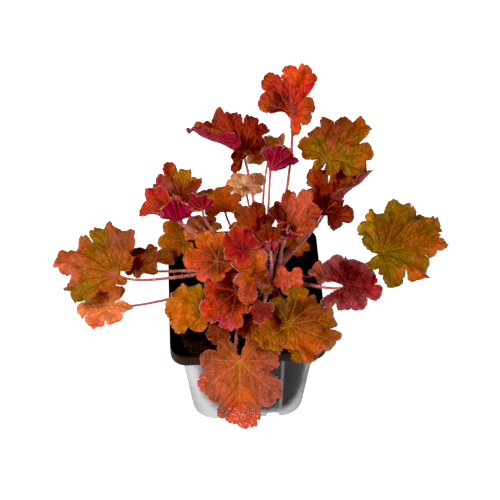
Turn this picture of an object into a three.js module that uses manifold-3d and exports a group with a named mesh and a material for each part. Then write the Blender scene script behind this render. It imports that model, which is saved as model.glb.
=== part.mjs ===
// Heuchera (coral bells) growing in a 9 cm square nursery pot.
// Millimetres, +Z up, pot underside centre at the origin, pot front towards -Y.
import * as THREE from 'three';
import Module from 'manifold-3d';

const wasm = await Module();
wasm.setup();

// ---- pot ---------------------------------------------------------------
const POT_HEIGHT = 88;
const COLLAR_HEIGHT = 9;
const COLLAR_HALF_WIDTH = 45;
const COLLAR_CORNER_RADIUS = 9;
const BODY_TOP_HALF_WIDTH = 40.2;
const BODY_TOP_CORNER_RADIUS = 14;
const BODY_BASE_HALF_WIDTH = 34.8;
const BODY_BASE_CORNER_RADIUS = 15;
const POT_WALL = 1.2;
const POT_FLOOR = 1.6;
const POT_FOOT_CHAMFER = 1.2;
const COLLAR_EASE = 0.4;
const COLLAR_STEP_SLOPE = 1;
const DRAIN_SLOT_OFFSET = 15;
const DRAIN_SLOT_WIDTH = 8;
const DRAIN_SLOT_HEIGHT = 6;
const DRAIN_SLOT_ARCH = 2.5;
const DRAIN_SLOT_REACH = 5;
const DRAIN_SLOT_BELOW = 2;
const CORNER_STEPS = 6;

// ---- soil and crown ----------------------------------------------------
const SOIL_LEVEL = 79;
const SOIL_LUMP = 1.3;
const SOIL_SLIDE = 0.6;
const SOIL_SHOULDER = 2;
const SOIL_FOOT_SHARE = 0.96;
const NODE_GAP = 0.3;
const SOIL_RING_SHARES = [0.985, 0.9, 0.8, 0.7, 0.6, 0.5, 0.4, 0.3, 0.2, 0.1];
const CROWN_CENTRE = [12, 5];
const CROWN_RADIUS = 8;
const CROWN_TOP = 87;
const CROWN_SIDES = 14;
// Heights up the crown with its share of CROWN_RADIUS there.
const CROWN_LEVELS = [[68, 0.55], [71, 0.9], [76, 1], [82, 1], [84, 0.75], [CROWN_TOP, 0.4]];
const CROWN_HOLE_LEVELS = [[68, 0.55], [71, 0.9], [76, 1], [93, 1]];

// ---- leaves ------------------------------------------------------------
const BLADE_HALF_THICKNESS = 0.38;
const LARGE_BLADE = { rings: [0.35, 0.7, 1], stations: [-0.78, -0.36, 0.36, 0.78] };
const SMALL_BLADE = { rings: [0.5, 1], stations: [-0.7, 0, 0.7] };
const SMALL_BLADE_REACH = 18;
const BASAL_NOTCH = 3.6;
const BASAL_NOTCH_SHARE = 0.6;
const OUTER_SPREAD = 0.65;
const SINUS_LIMIT = 168;
const WIDEST_SINUS = 150;
const LOBE_ROUNDNESS = 2.4;
const PLEAT_HEIGHT = 0.07;
const FINE_RIPPLE = 0.6;
const LEAF_ROUGHNESS = 0.55;
const PETIOLE_BASE_RADIUS = 1.15;
const PETIOLE_TIP_RADIUS = 0.8;
const PETIOLE_SIDES = 5;
const PETIOLE_SEGMENTS = 5;
const PETIOLE_SUNK = 5;
const PETIOLE_ROOT_SHARE = 0.55;
const PETIOLE_LEAN = 0.12;
const PETIOLE_RISE = 0.45;
const PETIOLE_NECK = [0.22, 0.14];
const PETIOLE_ASIDE = new THREE.Vector3(0.31, 0.17, 0.12);

const DEGREE = Math.PI / 180;

// Each leaf: hub = where the petiole meets the blade; tilt = lean of the blade's
// upward normal from the vertical, towards the azimuth `face`; mid = azimuth of the
// middle lobe; cup = slope of the blade at the hub; wave = height of the margin
// ruffle as a share of the lobe length, with its count and phase; lobes = rows of
// [angle from the middle lobe, length, slope at the tip, notch depth after it] and,
// where a lobe is folded up, its own slope at the hub in place of cup.
// A petiole may have its own rise = climb at the crown, neck = how far the last bend
// reaches below and behind the blade, both as shares of its span, and bow = sideways
// sweep in millimetres.
const LEAVES = [
  {
    name: 'leaf_top', colour: 0xc8451f, hub: [28, 50, 184], tilt: 25, face: -90, mid: 71,
    cup: 12, wave: [0.07, 6, 10], rise: 0.25, neck: [0.35, -0.04], bow: -5,
    lobes: [
      [-158, 13, -50, 0.5], [-97, 12, 0, 0.85], [-54, 14, 0, 0.55], [-5, 28, 5, 0.85],
      [16, 26, 10, 0.66], [45, 25, 14, 0.82], [85, 19, -5, 0.5],
    ],
  },
  {
    name: 'leaf_back_left_large', colour: 0x8f3a20, hub: [2, 51, 149], tilt: 10, face: -90, mid: 114,
    cup: 18, wave: [0.05, 6, 60],
    lobes: [
      [-95, 14, 10, 0.8], [-64, 22, 12, 0.85], [-38, 25, 15, 0.7],
      [-12, 27, 5, 0.88], [12, 31, -5, 0.92], [36, 37, -15, 0.8],
      [56, 22, 100, 0.5, 60], [95, 10, 60, 0.8], [125, 13, -30, 0.5],
    ],
  },
  {
    name: 'leaf_back_brown', colour: 0x8b5a2c, hub: [17, 60, 136], tilt: 5, face: 90, mid: 73,
    cup: 10, wave: [0.06, 5, 100], bow: 2.5,
    lobes: [
      [-120, 13, 0, 0.7], [-50, 15, 5, 0.8], [0, 19, 0, 0.8],
      [55, 15, 5, 0.7], [120, 13, 0, 0.7],
    ],
  },
  {
    name: 'leaf_back_cupped', colour: 0xa02048, hub: [16.5, 40, 148], tilt: 97, face: 80, mid: 80,
    cup: 5, wave: [0.05, 5, 30], neck: [0.1, 0.3],
    lobes: [[-15, 14, 25, 0.85], [12, 16, 20, 0.9], [40, 17, 20, 0.9], [68, 17, 20, 0.8]],
  },
  {
    name: 'leaf_back_tan', colour: 0xb98a55, hub: [3, 51, 118], tilt: 5, face: 90, mid: 105,
    cup: 10, wave: [0.05, 5, 0],
    lobes: [
      [-120, 10, 0, 0.7], [-60, 15, 0, 0.75], [0, 15, 0, 0.8],
      [60, 13, 0, 0.7], [120, 9, 0, 0.7],
    ],
  },
  {
    name: 'leaf_back_right', colour: 0x93602a, hub: [51, 50, 145], tilt: 10, face: -60, mid: 61,
    cup: 8, wave: [0.05, 6, 20], rise: 0.1, neck: [0.45, 0],
    lobes: [
      [-145, 11, -15, 0.5], [-80, 22, -10, 0.9], [-53, 26, 0, 0.52], [-14, 35, 0, 0.92],
      [5, 29, 5, 0.74], [30, 26, 5, 0.8], [52, 21, 0, 0.78], [90, 20, -5, 0.9],
      [112, 16, -10, 0.4], [152, 11, -15, 0.5],
    ],
  },
  {
    name: 'leaf_right_dark', colour: 0x7a3424, hub: [47, 24, 128], tilt: 12, face: -65, mid: 64,
    cup: 10, wave: [0.07, 6, 200],
    lobes: [
      [-118, 13, -35, 0.75], [-74, 16, -35, 0.55], [-46, 20, 110, 0.85, 75], [-24, 37, 10, 0.88],
      [-4, 34, 5, 0.55], [34, 27, 5, 0.64], [76, 17, 0, 0.6], [132, 13, -30, 0.5],
    ],
  },
  {
    name: 'leaf_right_large', colour: 0x93662a, hub: [78, -1, 120], tilt: 15, face: -10, mid: 22,
    cup: 10, wave: [0.05, 7, 150], rise: 0.1, neck: [0.5, 0], bow: 7,
    lobes: [
      [-155, 14, -10, 0.6], [-101, 23, -10, 0.56], [-40, 31, -10, 0.66], [-2, 40, -5, 0.92],
      [12, 47, -3, 0.92], [28, 42, 0, 0.86], [46, 38, 0, 0.85], [76, 28, 5, 0.8],
      [106, 21, 5, 0.8], [136, 14, 0, 0.5],
    ],
  },
  {
    name: 'leaf_right_crimson', colour: 0x9c3138, hub: [58, -12, 105], tilt: 20, face: -20, mid: 22,
    cup: 10, wave: [0.06, 6, 300],
    lobes: [
      [-158, 24, -5, 0.82], [-130, 17, -10, 0.85], [-84, 17, -12, 0.6], [-22, 21, -15, 0.85],
      [8, 22, -5, 0.8], [52, 19, 0, 0.76], [106, 19, 0, 0.82], [150, 24, 0, 0.7],
    ],
  },
  {
    name: 'leaf_front_right', colour: 0xa0682a, hub: [22, -38, 106], tilt: 25, face: -60, mid: -13,
    cup: 15, wave: [0.07, 6, 40], bow: 7,
    lobes: [
      [-125, 12, -10, 0.7], [-78, 14, -20, 0.8], [-32, 25, -25, 0.85], [-4, 30, -15, 0.76],
      [26, 29, -3, 0.78], [57, 22, 4, 0.75], [88, 23, 10, 0.5], [140, 17, 5, 0.6],
    ],
  },
  {
    name: 'leaf_front_right_low', colour: 0xc08a2c, hub: [28, -43, 96], tilt: 30, face: -60, mid: -40,
    cup: 5, wave: [0.05, 5, 90],
    lobes: [
      [-110, 9, 0, 0.7], [-50, 12, -10, 0.7], [0, 14, -15, 0.75],
      [50, 15, -10, 0.7], [110, 10, 0, 0.7],
    ],
  },
  {
    name: 'leaf_front_large', colour: 0xbb5f33, hub: [-6, -52, 92], tilt: 35, face: -90, mid: -92,
    cup: 5, wave: [0.05, 7, 0], bow: -7,
    lobes: [
      [-136, 16, 5, 0.6], [-95, 22, 0, 0.75], [-54, 27, -8, 0.78], [0, 37, -25, 0.8],
      [47, 30, -10, 0.5], [92, 22, 0, 0.65], [137, 15, 5, 0.5],
    ],
  },
  {
    name: 'leaf_far_left', colour: 0x9a5a2b, hub: [-74, -2, 112], tilt: 15, face: 180, mid: 160,
    cup: 8, wave: [0.05, 7, 80],
    lobes: [
      [-128, 14, 0, 0.7], [-86, 30, 0, 0.92], [-56, 36, 0, 0.74],
      [-28, 38, -5, 0.93], [-8, 41, -10, 0.74], [20, 32, -12, 0.9],
      [42, 29, -10, 0.6], [92, 13, 0, 0.7], [138, 10, 0, 0.6],
    ],
  },
  {
    name: 'leaf_left_inner', colour: 0x7c4426, hub: [-62, 9, 106], tilt: 15, face: 180, mid: -2,
    cup: 8, wave: [0.07, 5, 0],
    lobes: [
      [-135, 9, 0, 0.8], [-85, 9, 0, 0.8], [-36, 14, 5, 0.8], [2, 22, 5, 0.7],
      [40, 15, 0, 0.85], [88, 11, 0, 0.85], [142, 12, 0, 0.6],
    ],
  },
  {
    name: 'leaf_left_salmon', colour: 0xc06a3a, hub: [-79, -11, 95], tilt: 20, face: 180, mid: -172,
    cup: 5, wave: [0.05, 5, 140], rise: 0.25,
    lobes: [
      [-140, 13, 0, 0.7], [-85, 15, 0, 0.62], [-14, 20, -5, 0.68],
      [40, 17, -8, 0.62], [103, 15, -5, 0.68], [150, 15, -5, 0.6],
    ],
  },
  {
    name: 'leaf_left_yellow', colour: 0xc27a24, hub: [-26, -17.5, 98], tilt: 20, face: -120, mid: -171,
    cup: 10, wave: [0.06, 6, 220],
    lobes: [
      [-132, 10, 0, 0.85], [-88, 13, 5, 0.85], [-50, 19, 0, 0.85], [-12, 21, 0, 0.85],
      [24, 21, -5, 0.75], [70, 15, -5, 0.8], [120, 11, 0, 0.7],
    ],
  },
  {
    name: 'leaf_left_coral', colour: 0xd2603a, hub: [-16, -4, 123], tilt: 25, face: -120, mid: -152,
    cup: 10, wave: [0.06, 6, 20], rise: 0.3,
    lobes: [
      [-140, 16, 20, 0.7], [-100, 18, 20, 0.6], [-37, 19, 0, 0.65],
      [5, 15, -10, 0.75], [55, 12, -10, 0.7], [120, 10, 0, 0.7],
    ],
  },
  {
    name: 'leaf_left_olive', colour: 0x9a602c, hub: [-35, 23, 108], tilt: 10, face: 180, mid: 160,
    cup: 8, wave: [0.06, 5, 20],
    lobes: [
      [-100, 12, 0, 0.7], [-45, 19, 0, 0.7], [15, 15, 0, 0.75],
      [70, 14, 0, 0.7], [130, 10, 0, 0.7],
    ],
  },
  {
    name: 'leaf_left_back_olive', colour: 0x8a5a28, hub: [-22, 27, 112], tilt: 5, face: 150, mid: 119,
    cup: 10, wave: [0.06, 5, 120],
    lobes: [
      [-110, 10, 0, 0.7], [-50, 11, 0, 0.7], [10, 13, 0, 0.7],
      [80, 13, 0, 0.7], [140, 11, 0, 0.7],
    ],
  },
  {
    name: 'leaf_left_cupped', colour: 0xa83a34, hub: [-37, 15, 136], tilt: 5, face: -150, mid: -155,
    cup: 25, wave: [0.05, 6, 200], rise: 0.1,
    lobes: [
      [-148, 12, 50, 0.75], [-115, 14, 40, 0.75], [-78, 26, 5, 0.88],
      [-50, 25, -15, 0.5], [-10, 13, 45, 0.92, 45], [22, 23, 86, 0.92, 70],
      [66, 28, 94, 0.95, 72], [112, 23, 86, 0.9, 70], [150, 17, 42, 0.7, 42],
    ],
  },
  {
    name: 'leaf_left_high', colour: 0x9c5230, hub: [-35, 36, 128], tilt: 10, face: 120, mid: 110,
    cup: 20, wave: [0.06, 5, 40],
    lobes: [
      [-110, 11, 0, 0.7], [-55, 19, 10, 0.82], [-30, 23, 15, 0.75], [-4, 26, 30, 0.8],
      [22, 22, 5, 0.7], [65, 13, 0, 0.7], [120, 11, 0, 0.7],
    ],
  },
  {
    name: 'leaf_left_magenta', colour: 0x9a2440, hub: [-23, 26, 133], tilt: 85, face: 80, mid: -95,
    cup: 5, wave: [0.05, 5, 0], neck: [0.1, 0.25],
    lobes: [
      [-75, 9, 20, 0.75], [-35, 13, 15, 0.8], [0, 11, 15, 0.8],
      [40, 9, 20, 0.75], [80, 7, 20, 0.7],
    ],
  },
  {
    name: 'leaf_back_orange', colour: 0xb05a24, hub: [-10, 35, 120], tilt: 0, face: 90, mid: 99,
    cup: 5, wave: [0.06, 5, 250],
    lobes: [
      [-100, 10, 0, 0.7], [-48, 13, 0, 0.75], [-8, 18, 0, 0.8],
      [33, 20, 0, 0.7], [90, 12, 0, 0.7],
    ],
  },
  {
    name: 'leaf_centre_right', colour: 0xb0502e, hub: [23.5, 6, 130], tilt: 10, face: -70, mid: 50,
    cup: 30, wave: [0.07, 6, 10],
    lobes: [
      [-140, 14, 86, 0.8, 60], [-90, 13, 60, 0.75, 40], [-44, 19, 25, 0.82], [-16, 25, 12, 0.88],
      [10, 28, 15, 0.82], [34, 26, 25, 0.82], [62, 20, 40, 0.75], [125, 15, 88, 0.7, 60],
    ],
  },
  {
    name: 'leaf_centre_left', colour: 0x9c3a28, hub: [10, 6, 121], tilt: 10, face: -100, mid: 110,
    cup: 30, wave: [0.07, 6, 110],
    lobes: [
      [-135, 15, 92, 0.8, 62], [-82, 16, 60, 0.8, 40], [-44, 19, 32, 0.82], [-16, 26, 18, 0.82],
      [12, 26, 15, 0.82], [40, 22, 16, 0.75], [90, 13, 48, 0.8, 40], [138, 14, 94, 0.7, 62],
    ],
  },
  {
    name: 'leaf_centre_cupped', colour: 0x8a2a24, hub: [14, -5.5, 132], tilt: 5, face: -90, mid: 95,
    cup: 38, wave: [0.07, 5, 30],
    lobes: [
      [-130, 14, 92, 0.85, 62], [-74, 11, 60, 0.8, 45], [-32, 13, 40, 0.85], [5, 15, 38, 0.85],
      [42, 13, 42, 0.8], [84, 10, 60, 0.8, 45], [135, 14, 92, 0.7, 62],
    ],
  },
  {
    name: 'leaf_centre_olive', colour: 0x8a6a34, hub: [29.5, 21, 102], tilt: 20, face: -40, mid: 48,
    cup: 5, wave: [0.05, 5, 10],
    lobes: [[-110, 8, 0, 0.7], [-50, 10, 0, 0.7], [0, 11, 0, 0.75], [60, 9, 0, 0.7], [120, 8, 0, 0.7]],
  },
  {
    name: 'leaf_centre_ruffled', colour: 0xc05a2c, hub: [5, -15, 121], tilt: 25, face: -90, mid: 107,
    cup: 20, wave: [0.08, 6, 70],
    lobes: [
      [-150, 9, -10, 0.75], [-85, 8, 20, 0.8], [-20, 16, 20, 0.8],
      [30, 16, 20, 0.8], [85, 12, 30, 0.8], [140, 17, -5, 0.7],
    ],
  },
  {
    name: 'leaf_centre_large', colour: 0xb84a28, hub: [-6, -18, 112], tilt: 17, face: -110, mid: -141,
    cup: 12, wave: [0.07, 6, 10],
    lobes: [
      [-110, 14, 20, 0.75], [-55, 18, 10, 0.75], [0, 24, -10, 0.75],
      [35, 23, -15, 0.75], [85, 15, 0, 0.75], [135, 10, 20, 0.7],
    ],
  },
  {
    name: 'leaf_front_centre', colour: 0xa85a28, hub: [1, -29, 98], tilt: 25, face: -90, mid: -66,
    cup: 10, wave: [0.07, 6, 130],
    lobes: [
      [-105, 8, 0, 0.75], [-55, 10, 0, 0.75], [-18, 17, 0, 0.75],
      [17, 25, 0, 0.72], [55, 21, 5, 0.75], [110, 13, 10, 0.7],
    ],
  },
  {
    name: 'leaf_coral_star', colour: 0xe07a5a, hub: [24, -10, 112], tilt: 35, face: -80, mid: -93,
    cup: 0, wave: [0.05, 5, 10],
    lobes: [
      [-130, 8, 0, 0.6], [-72, 9, 0, 0.55], [0, 10, 0, 0.55],
      [60, 9, 0, 0.55], [115, 9, 0, 0.55],
    ],
  },
  {
    name: 'leaf_pink_small', colour: 0xb43a44, hub: [8, -34, 117], tilt: 20, face: -90, mid: -116,
    cup: 10, wave: [0.05, 5, 200],
    lobes: [[-110, 6, 0, 0.7], [-55, 7, 0, 0.7], [0, 9, 0, 0.75], [60, 7, 0, 0.7], [120, 6, 10, 0.7]],
  },
  {
    name: 'leaf_centre_red', colour: 0xa02c34, hub: [-1, -3, 132], tilt: 12, face: -110, mid: 150,
    cup: 15, wave: [0.07, 6, 10],
    lobes: [
      [-130, 11, 10, 0.75], [-80, 11, 20, 0.75], [-35, 13, 45, 0.75],
      [10, 14, 45, 0.75], [60, 12, 10, 0.75], [115, 12, -5, 0.75],
    ],
  },
  {
    name: 'leaf_left_brown_small', colour: 0xa85a28, hub: [-17, -33, 97], tilt: 25, face: -100, mid: -100,
    cup: 5, wave: [0.05, 5, 10],
    lobes: [[-110, 6, 0, 0.7], [-50, 8, 0, 0.7], [0, 9, 0, 0.75], [50, 8, 0, 0.7], [110, 6, 0, 0.7]],
  },
  {
    name: 'leaf_dry', colour: 0xb0763a, hub: [11, -13, 105], tilt: 30, face: -90, mid: 70,
    cup: 20, wave: [0.08, 5, 10],
    lobes: [
      [-110, 4, 40, 0.6], [-50, 5, 40, 0.6], [0, 6, 30, 0.6],
      [60, 5, 60, 0.6], [120, 4, 60, 0.6],
    ],
  },
];

// ---- helpers -----------------------------------------------------------
function meshFrom(name, geometry, colour, roughness, metalness) {
  const material = new THREE.MeshStandardMaterial({ color: colour, roughness, metalness });
  const mesh = new THREE.Mesh(geometry, material);
  mesh.name = name;
  return mesh;
}

function geometryFrom(points, faces) {
  const geometry = new THREE.BufferGeometry();
  geometry.setAttribute('position', new THREE.Float32BufferAttribute(points.flat(), 3));
  geometry.setIndex(faces.flat());
  geometry.computeVertexNormals();
  return geometry;
}

function solidFrom(points, faces) {
  return new wasm.Manifold(new wasm.Mesh({
    numProp: 3,
    vertProperties: Float32Array.from(points.flat()),
    triVerts: Uint32Array.from(faces.flat()),
  }));
}

function geometryOfSolid(solid) {
  const mesh = solid.getMesh();
  const geometry = new THREE.BufferGeometry();
  geometry.setAttribute('position', new THREE.Float32BufferAttribute(mesh.vertProperties, 3));
  geometry.setIndex(Array.from(mesh.triVerts));
  geometry.computeVertexNormals();
  return geometry;
}

// Closed skin over a stack of equal rings, each end closed by a fan to its centre.
function loft(rings, startCentre, endCentre) {
  const count = rings[0].length;
  const points = [...rings.flat(), startCentre, endCentre];
  const start = points.length - 2;
  const end = points.length - 1;
  const last = (rings.length - 1) * count;
  const faces = [];
  for (let i = 0; i < count; i += 1) {
    const next = (i + 1) % count;
    faces.push([start, next, i]);
    faces.push([end, last + i, last + next]);
    for (let r = 0; r < rings.length - 1; r += 1) {
      const low = r * count;
      const high = low + count;
      faces.push([low + i, low + next, high + next]);
      faces.push([low + i, high + next, high + i]);
    }
  }
  return { points, faces };
}

// Corner-rounded square outline, counter-clockwise seen from above.
function roundedSquare(half, radius, z) {
  const centres = [[1, 1], [-1, 1], [-1, -1], [1, -1]];
  const ring = [];
  centres.forEach(([sx, sy], quarter) => {
    for (let i = 0; i <= CORNER_STEPS; i += 1) {
      const angle = (quarter + i / CORNER_STEPS) * 90 * DEGREE;
      ring.push([
        sx * (half - radius) + radius * Math.cos(angle),
        sy * (half - radius) + radius * Math.sin(angle),
        z,
      ]);
    }
  });
  return ring;
}

function noise(i, j) {
  const value = Math.sin(i * 12.9898 + j * 78.233) * 43758.5453;
  return 2 * (value - Math.floor(value)) - 1;
}

// ---- pot ---------------------------------------------------------------
function bodyHalf(z) {
  const t = z / (POT_HEIGHT - COLLAR_HEIGHT);
  return BODY_BASE_HALF_WIDTH + (BODY_TOP_HALF_WIDTH - BODY_BASE_HALF_WIDTH) * t;
}

function bodyRadius(z) {
  const t = z / (POT_HEIGHT - COLLAR_HEIGHT);
  return BODY_BASE_CORNER_RADIUS + (BODY_TOP_CORNER_RADIUS - BODY_BASE_CORNER_RADIUS) * t;
}

function makePot() {
  const step = POT_HEIGHT - COLLAR_HEIGHT;
  const outer = (z, inset = 0) => roundedSquare(bodyHalf(z) - inset, bodyRadius(z) - inset, z);
  const collar = (z, inset) => roundedSquare(COLLAR_HALF_WIDTH - inset, COLLAR_CORNER_RADIUS - inset, z);
  const rings = [
    outer(0, POT_FOOT_CHAMFER),
    outer(POT_FOOT_CHAMFER),
    outer(step - COLLAR_STEP_SLOPE),
    collar(step, COLLAR_EASE),
    collar(step + COLLAR_EASE, 0),
    collar(POT_HEIGHT - COLLAR_EASE, 0),
    collar(POT_HEIGHT, COLLAR_EASE),
    collar(POT_HEIGHT, POT_WALL - 0.5 * COLLAR_EASE),
    collar(POT_HEIGHT - COLLAR_EASE, POT_WALL),
    collar(step + POT_WALL, POT_WALL),
    outer(step, POT_WALL),
    outer(POT_FLOOR + POT_FOOT_CHAMFER, POT_WALL),
    outer(POT_FLOOR, POT_WALL + POT_FOOT_CHAMFER),
  ];
  const skin = loft(rings, [0, 0, 0], [0, 0, POT_FLOOR]);
  let pot = solidFrom(skin.points, skin.faces);
  for (let side = 0; side < 4; side += 1) {
    for (const offset of [-DRAIN_SLOT_OFFSET, DRAIN_SLOT_OFFSET]) {
      pot = pot.subtract(drainSlot(offset, side));
    }
  }
  return meshFrom('pot', geometryOfSolid(pot), 0x1b1a1a, 0.32, 0);
}

// Arched opening through the foot of one wall and the edge of the floor.
function drainSlot(offset, side) {
  const half = DRAIN_SLOT_WIDTH / 2;
  const shoulder = DRAIN_SLOT_HEIGHT - DRAIN_SLOT_ARCH;
  const outline = [
    [-half, -DRAIN_SLOT_BELOW],
    [half, -DRAIN_SLOT_BELOW],
    [half, shoulder],
    [half - DRAIN_SLOT_ARCH, DRAIN_SLOT_HEIGHT],
    [DRAIN_SLOT_ARCH - half, DRAIN_SLOT_HEIGHT],
    [-half, shoulder],
  ];
  const near = BODY_BASE_HALF_WIDTH - DRAIN_SLOT_REACH;
  const far = BODY_BASE_HALF_WIDTH + DRAIN_SLOT_REACH;
  const turn = side * 90 * DEGREE;
  const [c, s] = [Math.cos(turn), Math.sin(turn)];
  const place = (x, y, z) => [x * c - y * s, x * s + y * c, z];
  const ringAt = (y) => outline.map(([x, z]) => place(offset + x, y, z));
  const skin = loft([ringAt(far), ringAt(near)], place(offset, far, 1), place(offset, near, 1));
  return solidFrom(skin.points, skin.faces);
}

// ---- soil --------------------------------------------------------------
function makeSoil() {
  const gap = POT_WALL + NODE_GAP;
  const base = POT_FLOOR + NODE_GAP;
  const side = (z) => roundedSquare(bodyHalf(z) - gap, bodyRadius(z) - gap, z);
  const foot = side(base + POT_FOOT_CHAMFER);
  const rings = [
    foot.map(([x, y]) => [x * SOIL_FOOT_SHARE, y * SOIL_FOOT_SHARE, base]),
    foot,
    side(SOIL_LEVEL - SOIL_SHOULDER),
  ];
  SOIL_RING_SHARES.forEach((share, r) => {
    const atWall = r === 0;
    rings.push(side(SOIL_LEVEL - SOIL_SHOULDER).map(([x, y], i) => {
      const slide = atWall ? 0 : SOIL_SLIDE * share * noise(i + 11, r + 5);
      const z = SOIL_LEVEL + SOIL_LUMP * noise(i + 3, r + 7) - (atWall ? SOIL_SLIDE : 0);
      return [x * share + slide, y * share + slide, z];
    }));
  });
  const skin = loft(rings, [0, 0, base], [0, 0, SOIL_LEVEL]);
  const soil = solidFrom(skin.points, skin.faces);
  const hole = crownSolid(CROWN_HOLE_LEVELS, NODE_GAP);
  return meshFrom('soil', geometryOfSolid(soil.subtract(hole)), 0x1d1512, 0.95, 0);
}

// ---- crown and petioles ------------------------------------------------
function crownSolid(levels, grow) {
  const rings = levels.map(([z, share], level) => {
    const radius = CROWN_RADIUS * share + grow;
    const height = level === 0 ? z - grow : z;
    const ring = [];
    for (let i = 0; i < CROWN_SIDES; i += 1) {
      const angle = (i / CROWN_SIDES) * 2 * Math.PI;
      ring.push([
        CROWN_CENTRE[0] + radius * Math.cos(angle),
        CROWN_CENTRE[1] + radius * Math.sin(angle),
        height,
      ]);
    }
    return ring;
  });
  const bottom = rings[0][0][2];
  const top = rings[rings.length - 1][0][2];
  const skin = loft(rings, [...CROWN_CENTRE, bottom], [...CROWN_CENTRE, top]);
  return solidFrom(skin.points, skin.faces);
}

function leafFrame(leaf) {
  const tilt = leaf.tilt * DEGREE;
  const face = leaf.face * DEGREE;
  const mid = leaf.mid * DEGREE;
  const lean = Math.sin(tilt);
  const normal = new THREE.Vector3(lean * Math.cos(face), lean * Math.sin(face), Math.cos(tilt));
  const along = new THREE.Vector3(Math.cos(mid), Math.sin(mid), 0);
  along.z = -(along.x * normal.x + along.y * normal.y) / normal.z;
  along.normalize();
  const across = new THREE.Vector3().crossVectors(normal, along);
  return { hub: new THREE.Vector3(...leaf.hub), normal, along, across };
}

// Curve from the crown to just under the hub of the blade.
function petioleCurve(leaf) {
  const { hub, normal, along } = leafFrame(leaf);
  const end = hub.clone().addScaledVector(normal, -(BLADE_HALF_THICKNESS + NODE_GAP));
  const bearing = Math.atan2(hub.y - CROWN_CENTRE[1], hub.x - CROWN_CENTRE[0]);
  const outward = new THREE.Vector3(Math.cos(bearing), Math.sin(bearing), 0);
  const sideways = new THREE.Vector3(-Math.sin(bearing), Math.cos(bearing), 0).multiplyScalar(leaf.bow ?? 0);
  const start = new THREE.Vector3(CROWN_CENTRE[0], CROWN_CENTRE[1], CROWN_TOP - PETIOLE_SUNK)
    .addScaledVector(outward, PETIOLE_ROOT_SHARE * CROWN_RADIUS);
  const span = start.distanceTo(end);
  const leave = start.clone().addScaledVector(outward, PETIOLE_LEAN * span).add(sideways);
  leave.z += (leaf.rise ?? PETIOLE_RISE) * span;
  const [below, behind] = leaf.neck ?? PETIOLE_NECK;
  const arrive = end.clone().addScaledVector(normal, -below * span).addScaledVector(along, -behind * span);
  arrive.add(sideways);
  return new THREE.CubicBezierCurve3(start, leave, arrive, end);
}

function petioleSolid(leaf) {
  const curve = petioleCurve(leaf);
  const { normal, along, across } = leafFrame(leaf);
  // A direction that no petiole runs along, so the rings don't twist.
  const aside = PETIOLE_ASIDE.clone().add(along);
  const rings = [];
  for (let k = 0; k <= PETIOLE_SEGMENTS; k += 1) {
    const t = k / PETIOLE_SEGMENTS;
    const centre = curve.getPoint(t);
    const tangent = t < 1 ? curve.getTangent(t) : normal;
    const u = t < 1 ? new THREE.Vector3().crossVectors(tangent, aside).normalize() : across.clone();
    const v = new THREE.Vector3().crossVectors(tangent, u).normalize();
    const radius = PETIOLE_BASE_RADIUS + (PETIOLE_TIP_RADIUS - PETIOLE_BASE_RADIUS) * t;
    const ring = [];
    for (let i = 0; i < PETIOLE_SIDES; i += 1) {
      const angle = (i / PETIOLE_SIDES) * 2 * Math.PI;
      const p = centre.clone()
        .addScaledVector(u, radius * Math.cos(angle))
        .addScaledVector(v, radius * Math.sin(angle));
      ring.push([p.x, p.y, p.z]);
    }
    rings.push(ring);
  }
  const first = curve.getPoint(0);
  const last = curve.getPoint(1);
  const skin = loft(rings, [first.x, first.y, first.z], [last.x, last.y, last.z]);
  return solidFrom(skin.points, skin.faces);
}

function makeStems() {
  let stems = crownSolid(CROWN_LEVELS, 0);
  for (const leaf of LEAVES) stems = stems.add(petioleSolid(leaf));
  return meshFrom('stems', geometryOfSolid(stems), 0xb4707a, 0.55, 0);
}

// ---- blades ------------------------------------------------------------
// Small blades are drawn with fewer rings and outline points.
function bladeDetail(leaf) {
  const longest = Math.max(...leaf.lobes.map(([, length]) => length));
  return longest < SMALL_BLADE_REACH ? SMALL_BLADE : LARGE_BLADE;
}

// Outline rays of a blade: angle, reach, slopes at tip and hub, place within the lobe.
function bladeRays(leaf) {
  const { lobes } = leaf;
  const rays = [];
  lobes.forEach(([angle, length, lift], k) => {
    const before = lobes[k - 1];
    const after = lobes[k + 1];
    const low = before
      ? 0.5 * (before[0] + angle)
      : Math.max(-SINUS_LIMIT, angle - OUTER_SPREAD * (after[0] - angle));
    const high = after
      ? 0.5 * (angle + after[0])
      : Math.min(SINUS_LIMIT, angle + OUTER_SPREAD * (angle - before[0]));
    const basal = Math.min(BASAL_NOTCH, BASAL_NOTCH_SHARE * length);
    const notchBefore = before ? before[3] * 0.5 * (before[1] + length) : basal;
    const notchAfter = after ? lobes[k][3] * 0.5 * (length + after[1]) : basal;
    const root = lobes[k][4] ?? leaf.cup;
    const rootBefore = before ? before[4] ?? leaf.cup : root;
    rays.push({
      angle: low,
      reach: notchBefore,
      lift: before ? 0.5 * (before[2] + lift) : lift,
      root: 0.5 * (rootBefore + root),
      place: 1,
    });
    for (const t of bladeDetail(leaf).stations) {
      const width = t < 0 ? angle - low : high - angle;
      const notch = t < 0 ? notchBefore : notchAfter;
      const size = Math.abs(t);
      const reach = notch + (length - notch) * Math.sqrt(Math.max(0, 1 - size ** LOBE_ROUNDNESS));
      const neighbour = t < 0 ? before : after;
      const blend = 0.5 * size * size;
      const slope = neighbour ? lift + (neighbour[2] - lift) * blend : lift;
      const rootBeside = neighbour ? neighbour[4] ?? leaf.cup : root;
      rays.push({
        angle: angle + t * width,
        reach,
        lift: slope,
        root: root + (rootBeside - root) * blend,
        place: size,
      });
    }
    if (!after) rays.push({ angle: high, reach: notchAfter, lift, root, place: 1 });
  });
  return rays;
}

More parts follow.
